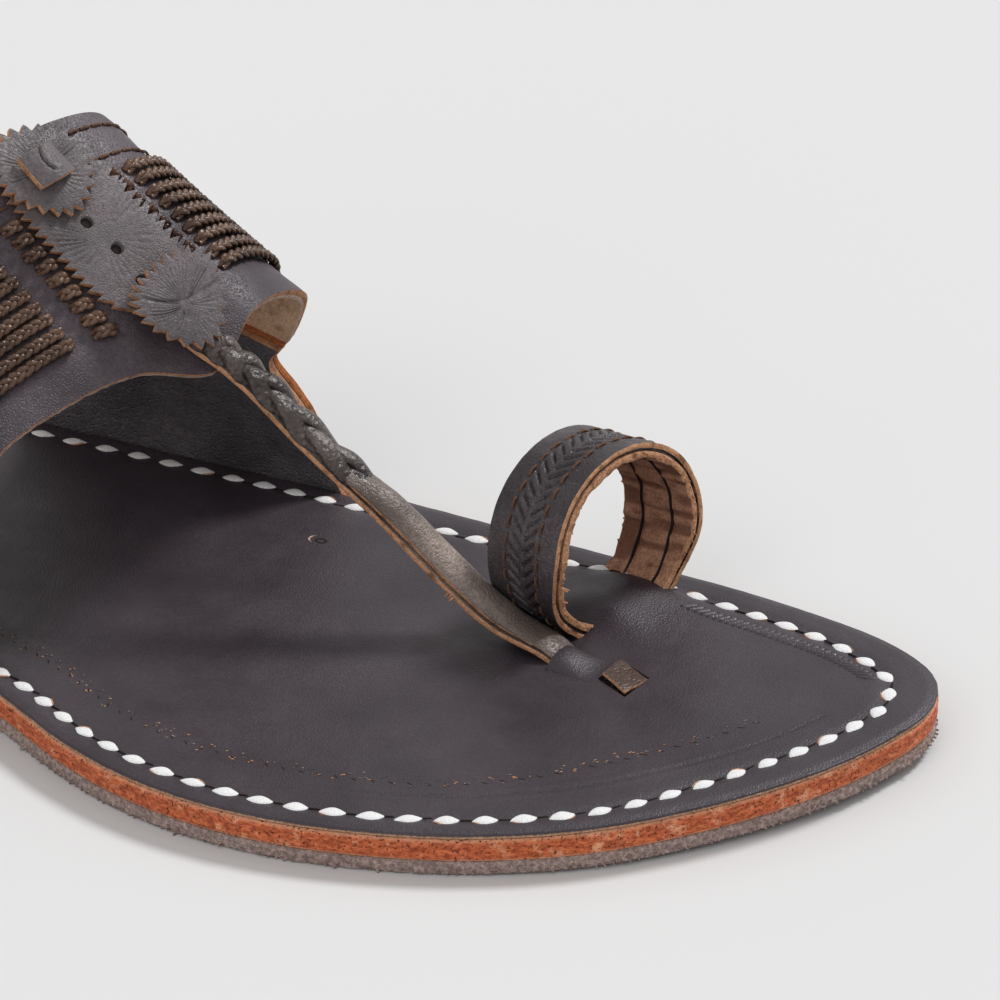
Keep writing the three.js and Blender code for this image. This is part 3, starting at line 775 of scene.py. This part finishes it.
def tooled_marks():
    """Two rows of slanting marks pressed round the insole inside the stitches, worn to tan in places."""
    dark, flecks = Shape(), Shape()
    rng = np.random.default_rng(SEED + 2)
    for number, (centre, way, side) in enumerate(along_path(TOOL_PATH, TOOL_PITCH)):
        if centre[1] > middle_y(centre[0]) or not TOOLED[0] <= centre[0] <= TOOLED[1]:
            continue
        row = 1 if number % 2 else -1
        middle = centre + side * (0.62 * row + rng.normal(0, 0.08))
        flat = middle + np.linspace(-0.62, 0.62, 5)[:, None] * unit(way + side * row * 0.75)
        dark.tube(on_insole(flat, -0.03), [0.05, 0.15, 0.18, 0.15, 0.05], 0.09, sides=5, paint=int(row > 0))
        for _ in range(rng.integers(0, 4)):
            spot = middle + side * rng.normal(0, 0.55) + way * rng.normal(0, 0.4)
            bit = spot + np.linspace(-1, 1, 4)[:, None] * way * rng.uniform(0.12, 0.34)
            flecks.tube(on_insole(bit, 0.03), [0.05, 0.16, 0.13, 0.04], 0.07, sides=5,
                        paint=int(rng.random() < 0.5))
    dark.build("tooled_marks", [DARK_THREAD_AND_SHADE, LEATHER["insole"]])
    flecks.build("tooling_flecks", [CUT_EDGE, LEATHER["strap"]])


def rope_border():
    """A raised rope pressed into the insole beside the medial stitches of the toe."""
    shape = Shape()
    bend = np.linspace(-1, 1, 7)
    thin = 1 - 0.85 * bend**4
    for centre, way, side in along_path(ROPE_PATH, ROPE_PITCH):
        if centre[1] >= middle_y(centre[0]) and ROPED[0] <= centre[0] <= ROPED[1]:
            flat = centre + side * (bend * 1.5)[:, None] + way * (bend * 1.1)[:, None]
            shape.tube(on_insole(flat, 0), 0.5 * thin, 0.2 * thin, sides=6)
    shape.build("rope_border", [LEATHER["insole"]], sharp=80)


def pricked_hole():
    """A pricked hole in front of the band: a torn pale lip, and a dark ring of painted shade for the hole
    itself.
    """
    shape = Shape()

    def arc(x, radius, high, angle):
        return np.array([x, 31.6]) + radius * np.column_stack([np.cos(angle), high * np.sin(angle)])

    lip = on_insole(arc(24.2, 1.5, 0.9, np.linspace(2.2, 4.4, 12)), 0.05)
    shape.tube(lip, 0.22 * np.sin(np.linspace(0.2, 2.9, 12)), 0.12, sides=6)
    # The dark ring is painted shade standing for the inside of the hole.
    rim = on_insole(arc(25, 0.9, 0.8, np.linspace(0, 2 * math.pi, 20)), -0.02)
    shape.tube(rim, 0.3, 0.1, sides=6, paint=1)
    shape.build("pricked_hole", [PALE_EDGE, DARK_THREAD_AND_SHADE])


def thong_knot():
    """The end of the thong, turned up in the slot: its near corner stands proud, with a raw edge."""
    a, b = mesh_grid(25, 25)
    corner = between(SLOT, SLOT.mean(axis=0), np.array([0.06, 0.08, 0.2, 0.2])[:, None])
    near = between(corner[3], corner[2], a[..., None])
    far = between(corner[0], corner[1], a[..., None])
    flat = between(near, far, b[..., None])
    proud = 0.8 * ((1 - a) * (1 - b)) ** 0.7 - 0.5 * a * b
    z = rise(flat[..., 0]) + INSOLE_TOP + 0.45 + proud + 0.14 * noise(np.dstack([flat, 0 * a]), 2.4, 4)
    over = np.dstack([flat, z])
    # A dark sheet of braid leather under the slot, a little wider than it, is painted shade in the gap round
    # the knot.
    ground = np.dstack([flat, rise(flat[..., 0]) + INSOLE_BASE + 0.25])
    middle = ground.mean(axis=(0, 1))
    shade = (ground - middle) * [1.2, 1.2, 1] + middle
    Shape().slab(shade, shade - [0, 0, 0.2], (0, 0, 0)).build("slot_painted_shade", [LEATHER["braid"]])
    Shape().slab(over, over - [0, 0, 0.6], (0, 2, 1), bulge=0.08, fray=0.08).build(
        "thong_knot_leather", [LEATHER["knot"], CUT_EDGE, LEATHER["braid"]], ["thong_knot"])


# ---- the band's surface
BAND_FRONT = Spline([row[1] for row in BAND_ROWS])
BAND_BACK = Spline([row[2] for row in BAND_ROWS])


def band_face(u, v):
    return between(BAND_FRONT.at(u), BAND_BACK.at(u), np.asarray(v, float)[..., None])


def on_band(u, v, height=0.0):
    """A point at a height over the band's outer face: u along the girth, v from front to back."""
    u, v = np.broadcast_arrays(np.asarray(u, float), np.asarray(v, float))
    step = 0.004
    inner = np.clip(u, step, 1 - step)
    along = band_face(inner + step, v) - band_face(inner - step, v)
    back = BAND_BACK.at(u) - BAND_FRONT.at(u)
    normal = unit(np.cross(along, back))
    return band_face(u, v) + normal * np.asarray(height, float)[..., None]


def girth_at(v):
    """Millimetres of girth per unit of u beside the crown."""
    step = 0.02
    return np.linalg.norm(band_face(CROWN + step, v) - band_face(CROWN - step, v), axis=-1) / (2 * step)


BAND_WIDTH = float(np.linalg.norm(band_face(CROWN, 0) - band_face(CROWN, 1)))


def on_crown(across, back, height=0.0):
    """A point near the crown: across in mm towards the medial side, back in mm from the front edge."""
    v = np.asarray(back, float) / BAND_WIDTH
    return on_band(CROWN + across / girth_at(v), v, height)


def mesh_grid(rows, columns, low=(0, 0), high=(1, 1)):
    sides = np.linspace(low[0], high[0], rows), np.linspace(low[1], high[1], columns)
    return np.meshgrid(*sides, indexing="ij")


def band():
    u, v = mesh_grid(231, 61)
    face = on_band(u, v)
    creases = 0.16 * noise(face, 7, 21) + 0.08 * noise(face, 2.6, 22)
    dips = np.zeros_like(u)
    for place in cord_places():
        dips -= 0.25 * bell((v - place) * BAND_WIDTH / 0.9)
    covered = smooth((np.abs(u - CROWN) - 0.06) / 0.03)
    margin = smooth(v / 0.04) * smooth((1 - v) / 0.04)
    over = on_band(u, v, (creases * 0.8 + dips * covered) * margin)
    seam = on_band(u, v, -(BAND_WALL - LINING) * np.ones_like(u))
    wall = on_band(u, v, -BAND_WALL + 0.12 * noise(face, 1.5, 23) * margin)
    leather = Shape().slab(over, seam, (0, 1, 1), bulge=0.12, fray=0.1)
    leather.build("band_leather", [LEATHER["band"], CUT_EDGE], ["upper"])
    # The lining's suede is the lighter copy: painted fill light on the band's shaded underside.
    lining = Shape().slab(seam - 0.02 * unit(over - seam), wall, (0, 0, 1), bulge=0.1, fray=0.16)
    lining.build("band_lining", [BAND_SUEDE_PAINTED_LIGHT, PALE_EDGE])


# ---- ears
def ear_spine(side, name, g):
    """The ear's middle line at a share g of its length, from the sole up to the band's end."""
    sign = 1 if name == "medial" else -1
    x = side["front"] + (side["back"] - side["front"]) * g
    v = side["band"][0] + (side["band"][1] - side["band"][0]) * g
    edge = edges(x)[0 if sign < 0 else 1] - sign * EAR_WALL / 2
    foot = np.array([x, edge, rise(x) + INSOLE_BASE + 0.3])
    laps = [abs(side["end"] - lap) for lap in (0, side["lap"])]
    joints = [on_band(u, v, -BAND_WALL - EAR_WALL / 2 + 0.15) for u in laps]
    belly = foot + (joints[0] - foot) * EAR_BELLY
    belly[1] += sign * side["belly"]
    return Spline([foot, belly, *joints])


def ear(name):
    side = EARS[name]
    sign = 1 if name == "medial" else -1
    rows, columns = 64, 71
    up = np.linspace(0, 1, rows)
    shares = np.linspace(0, 1, columns)
    middle = np.stack([ear_spine(side, name, g).at(up) for g in shares], axis=1)
    rise_way = np.gradient(middle, axis=0)
    ahead = -np.gradient(middle, axis=1)
    normal = unit(np.cross(rise_way, ahead)) * sign
    wrinkles = 0.28 * noise(middle * [1, 1, 0.35], 4, 31) + 0.14 * noise(middle, 1.8, 32)
    calm = (smooth(up / 0.08) * smooth((1 - up) / 0.1))[:, None]
    half = EAR_WALL / 2

    def face(shift, rough=0.0):
        return middle + normal * (shift + rough * wrinkles * calm)[..., None]

    flat = np.zeros((rows, columns))
    outer = Shape().slab(face(flat + half, 0.8), face(flat + 0.1), (0, 1, 1), bulge=0.12, fray=0.1)
    outer.build(f"{name}_ear_outside", [LEATHER["band"], ORANGE_EDGE])
    # The ear's inside face is the lighter ear leather: painted fill light in the shade under the band.
    inner = Shape().slab(face(flat - 0.1), face(flat - half, 1.0), (1, 0, 1), bulge=0.1, fray=0.1)
    inner.build(f"{name}_ear_lining", [LEATHER["ear"], CUT_EDGE])


# ---- thong
THONG = Spline([row[1] for row in THONG_ROWS])
THONG_SIZE = Spline([(row[2], row[3], 0) for row in THONG_ROWS])
BRAID_END = 0.535  # shares of the thong's length
BRAID_START = 0.09
BRAID_TURNS = 1.95
BRAID_SWING = 1.95  # mm each strip moves to either side
BRAID_STRIP = (1.85, 0.9)  # half its width and height


def thong_frame(share):
    middle = THONG.at(share)
    ahead = THONG.tangent(share)
    side = unit(np.cross([0, 0, 1], ahead))
    return middle, ahead, side, np.cross(ahead, side)


def thong_base():
    """The flat strap under the braid and the roll, with raw edges."""
    share, across = mesh_grid(181, 9, (0.0, -1), (1.0, 1))
    middle, _, side, up = thong_frame(share)
    width = THONG_SIZE.at(share)[..., 0] * (0.46 + 0.03 * smooth((share - 0.3) / 0.3))
    wave = 0.12 * noise(middle, 5, 41)
    sag = 0.25 * across**2
    edge = middle + side * (across * (width + wave))[..., None]
    over = edge + up * (0.95 - sag)[..., None]
    under = edge + up * (0.0 - sag + 0.05 * noise(edge, 1.2, 42))[..., None]
    Shape().slab(over, under, (0, 2, 1), bulge=0.15, fray=0.14).build(
        "thong_base", [LEATHER["strap"], CUT_EDGE, SUEDE])


def thong_braid():
    """Three folded strips plaited over the base."""
    shape = Shape()
    steps = 240
    share = np.linspace(BRAID_START, BRAID_END, steps)
    middle, ahead, side, up = thong_frame(share)
    turn = np.linspace(0, 2 * math.pi * BRAID_TURNS, steps)
    taper = smooth((1.02 - np.linspace(0, 1, steps)) / 0.12)
    for strand in range(3):
        phase = turn + strand * 2 * math.pi / 3
        swing = BRAID_SWING * np.sin(phase) * (0.75 + 0.25 * taper)
        height = 1.95 + 0.75 * np.sin(2 * phase) * taper - 0.5 * (1 - taper)
        path = middle + side * swing[:, None] + up * height[:, None]
        lean = unit(up + side * (0.35 * np.sin(phase))[:, None])
        shape.tube(path, BRAID_STRIP[0] * (0.8 + 0.2 * taper), BRAID_STRIP[1], lean, 14, wear_and_painted_light=0.18)
    shape.build("thong_braid", [LEATHER["braid"]], sharp=80)


def thong_roll():
    """The strap's rolled front stretch: folded over from the medial side, its raw edge along the lateral."""
    share, turn = mesh_grid(150, 22, (BRAID_END - 0.035, 0), (0.992, 1))
    middle, _, side, up = thong_frame(share)
    sizes = THONG_SIZE.at(share)
    half = sizes[..., 0] * 0.47
    start = smooth((share - BRAID_END + 0.035) / 0.07)
    high = (sizes[..., 1] * 0.78) * (0.45 + 0.55 * start) * (1 - 0.35 * smooth((share - 0.76) / 0.13))
    angle = np.pi * (0.02 + 0.93 * turn)
    across = np.cos(angle)
    dome = np.sign(np.sin(angle)) * np.abs(np.sin(angle)) ** 0.72
    folds = 0.13 * noise(middle * 0.4 + turn[..., None] * [0, 9, 0], 1.6, 43)
    pebbles = 0.05 * noise(middle + side * across[..., None] * 3, 0.8, 44)
    flat = side * (across * half)[..., None]
    over = middle + flat + up * (1.05 + dome * high + folds + pebbles)[..., None]
    under = middle + flat * 0.9 + up * (1.0 + np.maximum(0, dome * high - 0.9))[..., None]
    # The roll's inside face is the dark braid leather: painted shade in the gap between the roll and the
    # strap below.
    Shape().slab(over, under, (0, 2, 1), bulge=0.1, fray=0.1).build(
        "thong_roll", [LEATHER["strap"], CUT_EDGE, LEATHER["braid"]])


def slit_bridge():
    """The insole's leather lifted over the thong's end, from the slit to the slot."""
    t, c = mesh_grid(25, 25, (0, -1), (1, 1))
    half = 4.3 - 0.3 * t
    x = SLIT_X + 0.3 * c * (1 - t) + 8.2 * t
    y = 15.4 - 0.5 * t + half * c
    lift = 1.9 * (1 - smooth(t)) * np.maximum(0, 1 - np.abs(c) ** 2.6) ** 0.8 + 0.04
    ground = insole_height(x.ravel(), y.ravel()).reshape(x.shape)
    over = np.dstack([x, y, ground + lift])
    under = np.dstack([x, y, ground - 0.4 + 0 * lift])
    Shape().slab(over, under, (0, 0, 1), bulge=0.06, fray=0.04).build(
        "slit_bridge", [LEATHER["insole"], LEATHER["braid"]])


def frayed_bits():
    """Loose fibres at the strap's lateral edge and at the ring's front edge."""
    shape = Shape()
    middle, ahead, side, up = (v[0] for v in thong_frame(np.array([0.68])))
    for back, reach in ((0, 1.5), (0.5, 1.0), (1.1, 1.3)):
        t = np.linspace(0, 1, 5)[:, None]
        path = middle - side * (3.2 + reach * t) - ahead * back + up * (0.3 - 0.6 * t)
        shape.tube(path, [0.3, 0.28, 0.22, 0.16, 0.05], 0.14, sides=5)
    for turn, reach in ((3.28, 1.3), (3.31, 1.0), (3.5, 0.8)):
        t = np.linspace(0, 1, 5)
        start = RING_WIDTH / 2 - float(ring_trim(np.array(turn))) - 0.2
        path = on_ring(turn + 0.03 * t, start + reach * t, RING_HOLE + 0.4 - 0.5 * t)
        shape.tube(path, [0.34, 0.3, 0.24, 0.18, 0.05], 0.16, sides=5)
    shape.build("frayed_bits", [CUT_EDGE])


# ---- toe ring
RING_TILT = np.array(Euler((0, -RING_PITCH, RING_TURN)).to_matrix())
RING_TRIM = (3.2, 2)  # how far the front edge is cut back at the lateral and the medial foot
RING_SEAMS = (-3.9, 3.4)  # running stitches, mm across the ring from its middle
RING_INNER = 1.3  # thickness of the suede lining


def on_ring(turn, across, radius):
    """turn is the angle round the loop, 0 at the medial foot; across is mm along the ring's width."""
    local = across + 0 * turn, radius * np.cos(turn), RING_FLATNESS * radius * np.sin(turn)
    return np.stack(local, axis=-1) @ RING_TILT.T + RING_PLACE


def ring_foot(radius, sunk=0.5):
    return math.asin((RING_LIFT + sunk) / (radius * RING_FLATNESS))


def ring_trim(turn):
    return RING_TRIM[0] * smooth((turn - 2.9) / 0.9) + RING_TRIM[1] * smooth((-0.1 - turn) / 0.7)


CUT_PITCH = 2.4  # slanting cuts of the ring's tooling
CUT_WIDE = 0.38
CUT_DEEP = 0.5


def herringbone(run, across):
    """Depth of the two rows of slanting cuts between the seams, in mm."""
    middle = sum(RING_SEAMS) / 2
    slant = across - middle
    row = np.sign(slant)
    phase = (run + 0.95 * np.abs(slant) + 0.6 * row) / CUT_PITCH % 1
    cut = bell((phase - 0.5) * CUT_PITCH / CUT_WIDE, 4)
    inside = smooth((np.abs(slant) - 0.25) / 0.3) * smooth((3.0 - np.abs(slant)) / 0.4)
    return -CUT_DEEP * cut * inside


def ring_relief(run, across):
    """Tooling, seams and grain of the dark outer layer."""
    seams = sum(-0.12 * bell((across - seam) / 0.4) for seam in RING_SEAMS)
    flat = in_plane(run, across)
    return herringbone(run, across) + seams + 0.07 * noise(flat, 2.2, 51) + 0.05 * noise(flat, 0.9, 57)


def toe_ring():
    """Three layers: tooled dark leather outside, a thin dark one set back from the edges, and suede."""
    half = RING_WIDTH / 2
    lining = RING_HOLE + RING_INNER
    layers = (  # name, outer and inner radius, half width, unevenness, seed, folds, grid, materials
        ("ring_outside", RING_RADIUS - 0.1, RING_RADIUS - 1.1, half - 0.1, 0.05, 52, 0.06, (331, 67),
         [LEATHER["ring"], CUT_EDGE]),
        ("ring_core", RING_RADIUS - 1.15, lining + 0.1, half - 0.75, 0.03, 53, 0.06, (166, 25),
         [LEATHER["ear"], LEATHER["ear"]]),
        ("ring_lining", lining, RING_HOLE, half, 0.12, 54, 0.3, (301, 45), [SUEDE, CUT_EDGE]),
    )
    foot = ring_foot(RING_HOLE)
    for name, outer, inner, half_width, fray, seed, ripple, grid, materials in layers:
        turn, share = mesh_grid(*grid, (-foot, -1), (math.pi + foot, 1))
        run = turn * outer
        edge_wave = fray * 2.2 * noise(in_plane(run, share * 4), 2.6, seed)
        across = share * (half_width + edge_wave) - ring_trim(turn) * smooth((share + 0.2) / 1.2)
        tooled = name == "ring_outside"
        over = on_ring(turn, across, outer + (ring_relief(run, across) if tooled else 0 * run))
        folds = noise(in_plane(run, across * 0.2), 1.3, seed + 1)
        under = on_ring(turn, across, inner + ripple * folds)
        # The per-vertex value follows the folds: on the suede lining it is painted shade, darker in the
        # hollows of its folds; on the undersides of the other two layers it turns the leather raw tan.
        Shape().slab(over, under, (0, 0, 1), bulge=0.12, fray=0.16, wear_and_painted_light=0.9 * smooth(folds * 1.6)).build(
            name, materials, ["toe_ring"] if tooled else ())


def ring_teeth():
    """Torn fibres along both edges of the suede lining."""
    shape = Shape()
    rng = np.random.default_rng(SEED + 5)
    foot = ring_foot(RING_HOLE)
    for edge in (-1, 1):
        for turn in np.arange(-foot, math.pi + foot, FIBRE_PITCH / RING_HOLE):
            trim = float(ring_trim(np.array(turn))) if edge > 0 else 0
            start = edge * (RING_WIDTH / 2 - 0.3) - trim
            reach = rng.uniform(0.1, 0.55)
            turns = turn + np.linspace(0, rng.normal(0, 0.4), 4) / RING_HOLE
            radius = RING_HOLE + RING_INNER * rng.uniform(0.1, 0.9)
            path = on_ring(turns, start + edge * np.linspace(0, 0.3 + reach, 4), radius + 0 * turns)
            shape.tube(path, [0.3, 0.28, 0.2, 0.05], [0.24, 0.2, 0.14, 0.04], unit(path - RING_PLACE), 5)
    shape.build("ring_lining_fibres", [CUT_EDGE])


def ring_seams():
    """Running stitches outside and the dark bobbin lines inside."""
    outside, inside = Shape(), Shape()
    rng = np.random.default_rng(SEED + 3)
    foot, inner_foot = ring_foot(RING_RADIUS), ring_foot(RING_HOLE)
    for seam in RING_SEAMS:
        pitch = RING_SEAM_PITCH / RING_RADIUS
        for start in np.arange(-foot * 0.9, math.pi + foot * 0.9, pitch):
            turn = start + np.linspace(0, pitch * 0.7, 7)
            high = RING_RADIUS - 0.2 + 0.24 * np.sin(np.linspace(0, math.pi, 7))
            shift = -ring_trim(turn) * max(0, seam / RING_WIDTH * 2)
            path = on_ring(turn, seam + 0.1 * rng.normal() + shift, high)
            out = unit(path - on_ring(turn, seam + shift, 0.5 * high))
            outside.tube(path, 0.27, 0.22, out, 6)
        turn = np.linspace(-inner_foot, math.pi + inner_foot, 150)
        wander = 0.35 * noise(in_plane(turn * RING_HOLE, seam), 3.2, 56)
        path = on_ring(turn, seam * 0.9 + wander, RING_HOLE - 0.02 + 0 * turn)
        inside.tube(path, 0.3, 0.26, unit(path - RING_PLACE), 6)
    outside.build("ring_stitches", [BROWN_THREAD])
    inside.build("ring_inner_thread", [DARK_THREAD_AND_SHADE])


# ---- overlays on the crown
LOWER_ROSETTE = {"across": 2, "back": 11.8, "radius": 7.9, "low": 3.9, "teeth": 24}
UPPER_ROSETTE = {"across": 0, "back": 44.5, "radius": 8.5, "low": 2 * GAP + PANEL_THICK, "teeth": 24}
PANEL = {"across": 0.8, "from": 14.5, "to": 47, "half": 9.2, "teeth": 14}
TOOTH = 0.8
TAB = {"length": 7.4, "width": 6.6, "arch": 1.6}


def sunburst(dx, dy, rays, inner, outer):
    """Height of pressed rays about a centre, in mm."""
    radius = np.hypot(dx, dy)
    angle = np.arctan2(dy, dx)
    ray = np.abs(np.sin(angle * rays / 2)) ** 0.5
    band = smooth((radius - inner) / 1.2) * smooth((outer - radius) / 1.6)
    uneven = 0.75 + 0.5 * noise(in_plane(angle * 4, 0), 1, 61)
    return -0.2 * (1 - ray) * band * uneven


def pinked(t):
    """A zigzag from -1 to 1, once per unit of t."""
    return 1 - 4 * np.abs(t % 1 - 0.5)


def rosette(spec, name, crease):
    teeth = spec["teeth"]
    share, turn = mesh_grid(34, teeth * 8 + 1, (0, 0), (1, 1))
    share, turn = share[:, :-1], turn[:, :-1]
    edge = spec["radius"] + TOOTH * pinked(turn * teeth)
    plain = spec["radius"] - 1.2
    radius = share**0.9 * plain + smooth((share - 0.8) / 0.2) * (edge - plain)
    angle = turn * 2 * math.pi
    dx, dy = radius * np.cos(angle), radius * np.sin(angle)
    relief = sunburst(dx, dy, 46, 0.6, spec["radius"] - 0.6)
    if crease:
        relief = relief - 0.3 * bell((dy * 0.86 + dx * 0.5 - 0.6) / 0.28) * (np.hypot(dx, dy) < 7)
    lift = 0.3 * noise(in_plane(dx, dy), 6, 62) * share**2
    place = (spec["across"] + dx, spec["back"] + dy)
    over = on_crown(*place, spec["low"] + ROSETTE_THICK + relief + lift - 0.25 * share**4)
    under = on_crown(*place, spec["low"] + lift)
    Shape().slab(over, under, (0, 0, 1), bulge=0.05, fray=0.12, wrap=True).build(
        name, [LEATHER["overlay"], CUT_EDGE], [name], sharp=42)


PANEL_HOLES = ((0.6, 33.2), (1.4, 26.6), (0.6, 19.6))  # across, back


def centre_panel():
    teeth = PANEL["teeth"]
    t, share = mesh_grid(teeth * 10 + 1, 85, (0, -1), (1, 1))
    length = PANEL["to"] - PANEL["from"]
    plump = np.sqrt(np.maximum(0, 1 - np.abs(2 * t - 1) ** 6))
    half = PANEL["half"] * (0.55 + 0.45 * plump)
    edge = smooth((np.abs(share) - 0.82) / 0.18)
    across = PANEL["across"] + share * (half + TOOTH * 1.1 * pinked(t * teeth * 1.15) * edge)
    back = PANEL["from"] + length * t
    relief = sunburst(across - 1.0, back - 30, 40, 2.0, 9.5)
    for hole_across, hole_back in PANEL_HOLES:
        relief = relief - 1.3 * smooth((1.15 - np.hypot(across - hole_across, back - hole_back)) / 0.45)
    lift = 0.18 * noise(in_plane(across, back), 8, 63)
    over = on_crown(across, back, GAP + PANEL_THICK + relief + lift)
    under = on_crown(across, back, GAP + 0 * relief)
    pits = Shape()
    for hole_across, hole_back in PANEL_HOLES:
        height = GAP + PANEL_THICK + np.linspace(-1.25, -0.7, 5)
        pits.tube(on_crown(hole_across, hole_back, height), 0.85, 0.85, (0, 1, 0), 12)
    pits.build("panel_hole_shadows", [DARK_THREAD_AND_SHADE])
    Shape().slab(over, under, (0, 0, 1), bulge=0.06, fray=0.14).build(
        "centre_panel", [LEATHER["overlay"], CUT_EDGE], ["centre_panel"], sharp=42)


def rosette_tab():
    low = UPPER_ROSETTE["low"] + ROSETTE_THICK + GAP
    t, g = mesh_grid(33, 25, (0, 0), (1, 1))
    arch = TAB["arch"] * np.sin(math.pi * t) ** 0.8
    across = UPPER_ROSETTE["across"] + TAB["length"] * (t - 0.5)
    back = UPPER_ROSETTE["back"] + TAB["width"] * (g - 0.5)
    slit = -0.7 * bell((t - 0.42 - 0.9 * (g - 0.55) ** 2) / 0.035) * smooth((g - 0.2) / 0.1)
    over = on_crown(across, back, low + arch + 1.3 + slit)
    under = on_crown(across, back, low + arch)
    Shape().slab(over, under, (0, 0, 1), bulge=0.1, fray=0.08).build(
        "rosette_tab", [LEATHER["overlay"], CUT_EDGE], ["rosette_tab"])


# ---- braided cords
CORD_PLACES = {
    "medial": {"near": 11.2, "far": 12.6, "start": 14.2, "reach": 0.97},
    "lateral": {"near": 9.4, "far": 12.8, "start": 16, "reach": 0.04},
}
CORD_PLAIT = 5.2  # mm of cord per full turn of its plait
CORD_STEP = 0.42  # mm between its rings
CORD_DIVE = 1.3  # mm that each end goes down, over as much length


def cord_places():
    """Shares of the band's width at which the cords lie."""
    low, high = CORD_SPAN
    return low + (high - low) * (np.arange(CORD_ROWS) + 0.5) / CORD_ROWS


def plaited(shape, u0, u1, v, wave):
    """One cord of three strands on the band, its ends going down into the leather."""
    share = np.linspace(0, 1, 400)
    u = u0 + (u1 - u0) * share
    line = on_band(u, v + 0 * u, 0.0)
    length = lengths(line)[-1]
    steps = max(16, int(length / CORD_STEP))
    share = np.linspace(0, 1, steps)
    u = u0 + (u1 - u0) * share
    run = share * length
    drop = CORD_DIVE * (2 - smooth(run / CORD_DIVE) - smooth((length - run) / CORD_DIVE))
    drift = v + wave * np.sin(run / 7 + v * 40) / BAND_WIDTH
    base = on_band(u, drift, 1.0 - drop)
    out = unit(on_band(u, drift, 2.0) - on_band(u, drift, 0.0))
    side = unit(np.cross(out, np.gradient(base, axis=0)))
    turn = run * 2 * math.pi / CORD_PLAIT
    for strand in range(3):
        phase = turn + strand * 2 * math.pi / 3
        path = base + side * (0.66 * np.sin(phase))[:, None]
        path = path + out * (0.3 * np.sin(2 * phase) + 0.1)[:, None]
        shape.tube(path, 0.52, 0.42, out, 7, wear_and_painted_light=0.12)


def cord_shares(name, key):
    """u at which each cord starts or ends beside the panel."""
    sign = 1 if name == "medial" else -1
    v = cord_places()
    return CROWN + sign * CORD_PLACES[name][key] / girth_at(v)


def cords(name):
    short, long = Shape(), Shape()
    rng = np.random.default_rng(SEED + 4)
    near, far, start = (cord_shares(name, key) for key in ("near", "far", "start"))
    reach = CORD_PLACES[name]["reach"]
    for k, v in enumerate(cord_places()):
        slack = rng.normal(0, 0.0012)
        plaited(short, near[k] * 0.98 + CROWN * 0.02, far[k] + slack, v, 0.05)
        plaited(long, start[k] + slack, reach, v, 0.14)
    for strands, piece in ((short, f"{name}_cord_ends"), (long, f"{name}_cords")):
        strands.build(piece, [LEATHER["cord"]], [piece], sharp=80, slot="cord_leather")


def band_seams():
    """Two lines of brown thread across the back of the band."""
    shape = Shape()
    for v, u_from, u_to in ((0.79, 0.56, 0.93), (0.93, 0.50, 0.93), (0.79, 0.07, 0.42), (0.93, 0.07, 0.46)):
        u = np.linspace(u_from, u_to, 500)
        path = on_band(u, v + 0 * u, 0.12)
        run = lengths(path)
        for start in np.arange(0, run[-1] - 2.6, SEAM_PITCH):
            stitch = resample(path, start + np.linspace(0, 2.5, 7))
            place = np.interp(start, run, u)
            out = unit(on_band(place, v, 1) - on_band(place, v, 0))
            stitch = stitch + out * (0.22 * np.sin(np.linspace(0, math.pi, 7)))[:, None]
            shape.tube(stitch, 0.3, 0.26, out, 6)
    shape.build("band_seams", [BROWN_THREAD])


# ---- studio
FLOOR_GREY = 0.67
SKY = 0.55  # strength of the even light from all round
CAMERA = {"azimuth": 29.25, "elevation": 28.02, "distance": 911, "aim": (45.0, 60.1, 8.0), "lens": 184.2}


def floor():
    look = Look("floor_paper", roughness=0.95, specular=0.1)
    look.done((FLOOR_GREY,) * 3)
    bpy.ops.mesh.primitive_plane_add(size=40)
    paper = bpy.context.object
    paper.name = "floor"
    paper.data.materials.append(look.material)


def looking(name, data, azimuth, elevation, aim=(0, 0, 0), distance=0):
    """Looks at aim from an azimuth, 0 at the lateral side and 90 at the toe, and an elevation."""
    a, e = math.radians(azimuth), math.radians(elevation)
    back = Vector((math.sin(a) * math.cos(e), -math.cos(a) * math.cos(e), math.sin(e)))
    thing = in_scene(name, data)
    thing.location = Vector((np.array(aim) + SHIFT) * MM) + back * distance * MM
    thing.rotation_mode = "QUATERNION"
    thing.rotation_quaternion = (-back).to_track_quat("-Z", "Y")
    return thing


def sun(name, azimuth, elevation, strength, spread):
    light = bpy.data.lights.new(name, "SUN")
    light.energy = strength
    light.angle = math.radians(spread)
    looking(name, light, azimuth, elevation)


def studio():
    floor()
    world = bpy.data.worlds.new("studio")
    world.use_nodes = True
    background = world.node_tree.nodes["Background"]
    background.inputs["Color"].default_value = (1, 1, 1, 1)
    background.inputs["Strength"].default_value = SKY
    bpy.context.scene.world = world
    sun("key", azimuth=160, elevation=50, strength=1.65, spread=14)
    sun("fill", azimuth=0, elevation=32, strength=0.4, spread=40)
    bpy.context.scene.view_settings.view_transform = "Standard"
    bpy.context.scene.view_settings.look = "Medium High Contrast"


def camera():
    lens = bpy.data.cameras.new("camera")
    lens.lens, lens.sensor_width = CAMERA["lens"], 36
    lens.clip_start, lens.clip_end = 0.01, 100
    place = (CAMERA[key] for key in ("azimuth", "elevation", "aim", "distance"))
    bpy.context.scene.camera = looking("camera", lens, *place)


# ---- assembly
for make in (outsole, outsole_nubs, heel_lift, midsole, insole, white_stitches, tooled_marks, rope_border,
             pricked_hole, thong_knot, band):
    make()
ear("medial")
ear("lateral")
for make in (thong_base, thong_braid, thong_roll, slit_bridge, frayed_bits, toe_ring, ring_teeth,
             ring_seams):
    make()
rosette(LOWER_ROSETTE, "lower_rosette", crease=True)
rosette(UPPER_ROSETTE, "upper_rosette", crease=False)
centre_panel()
rosette_tab()
cords("medial")
cords("lateral")
band_seams()
studio()
camera()
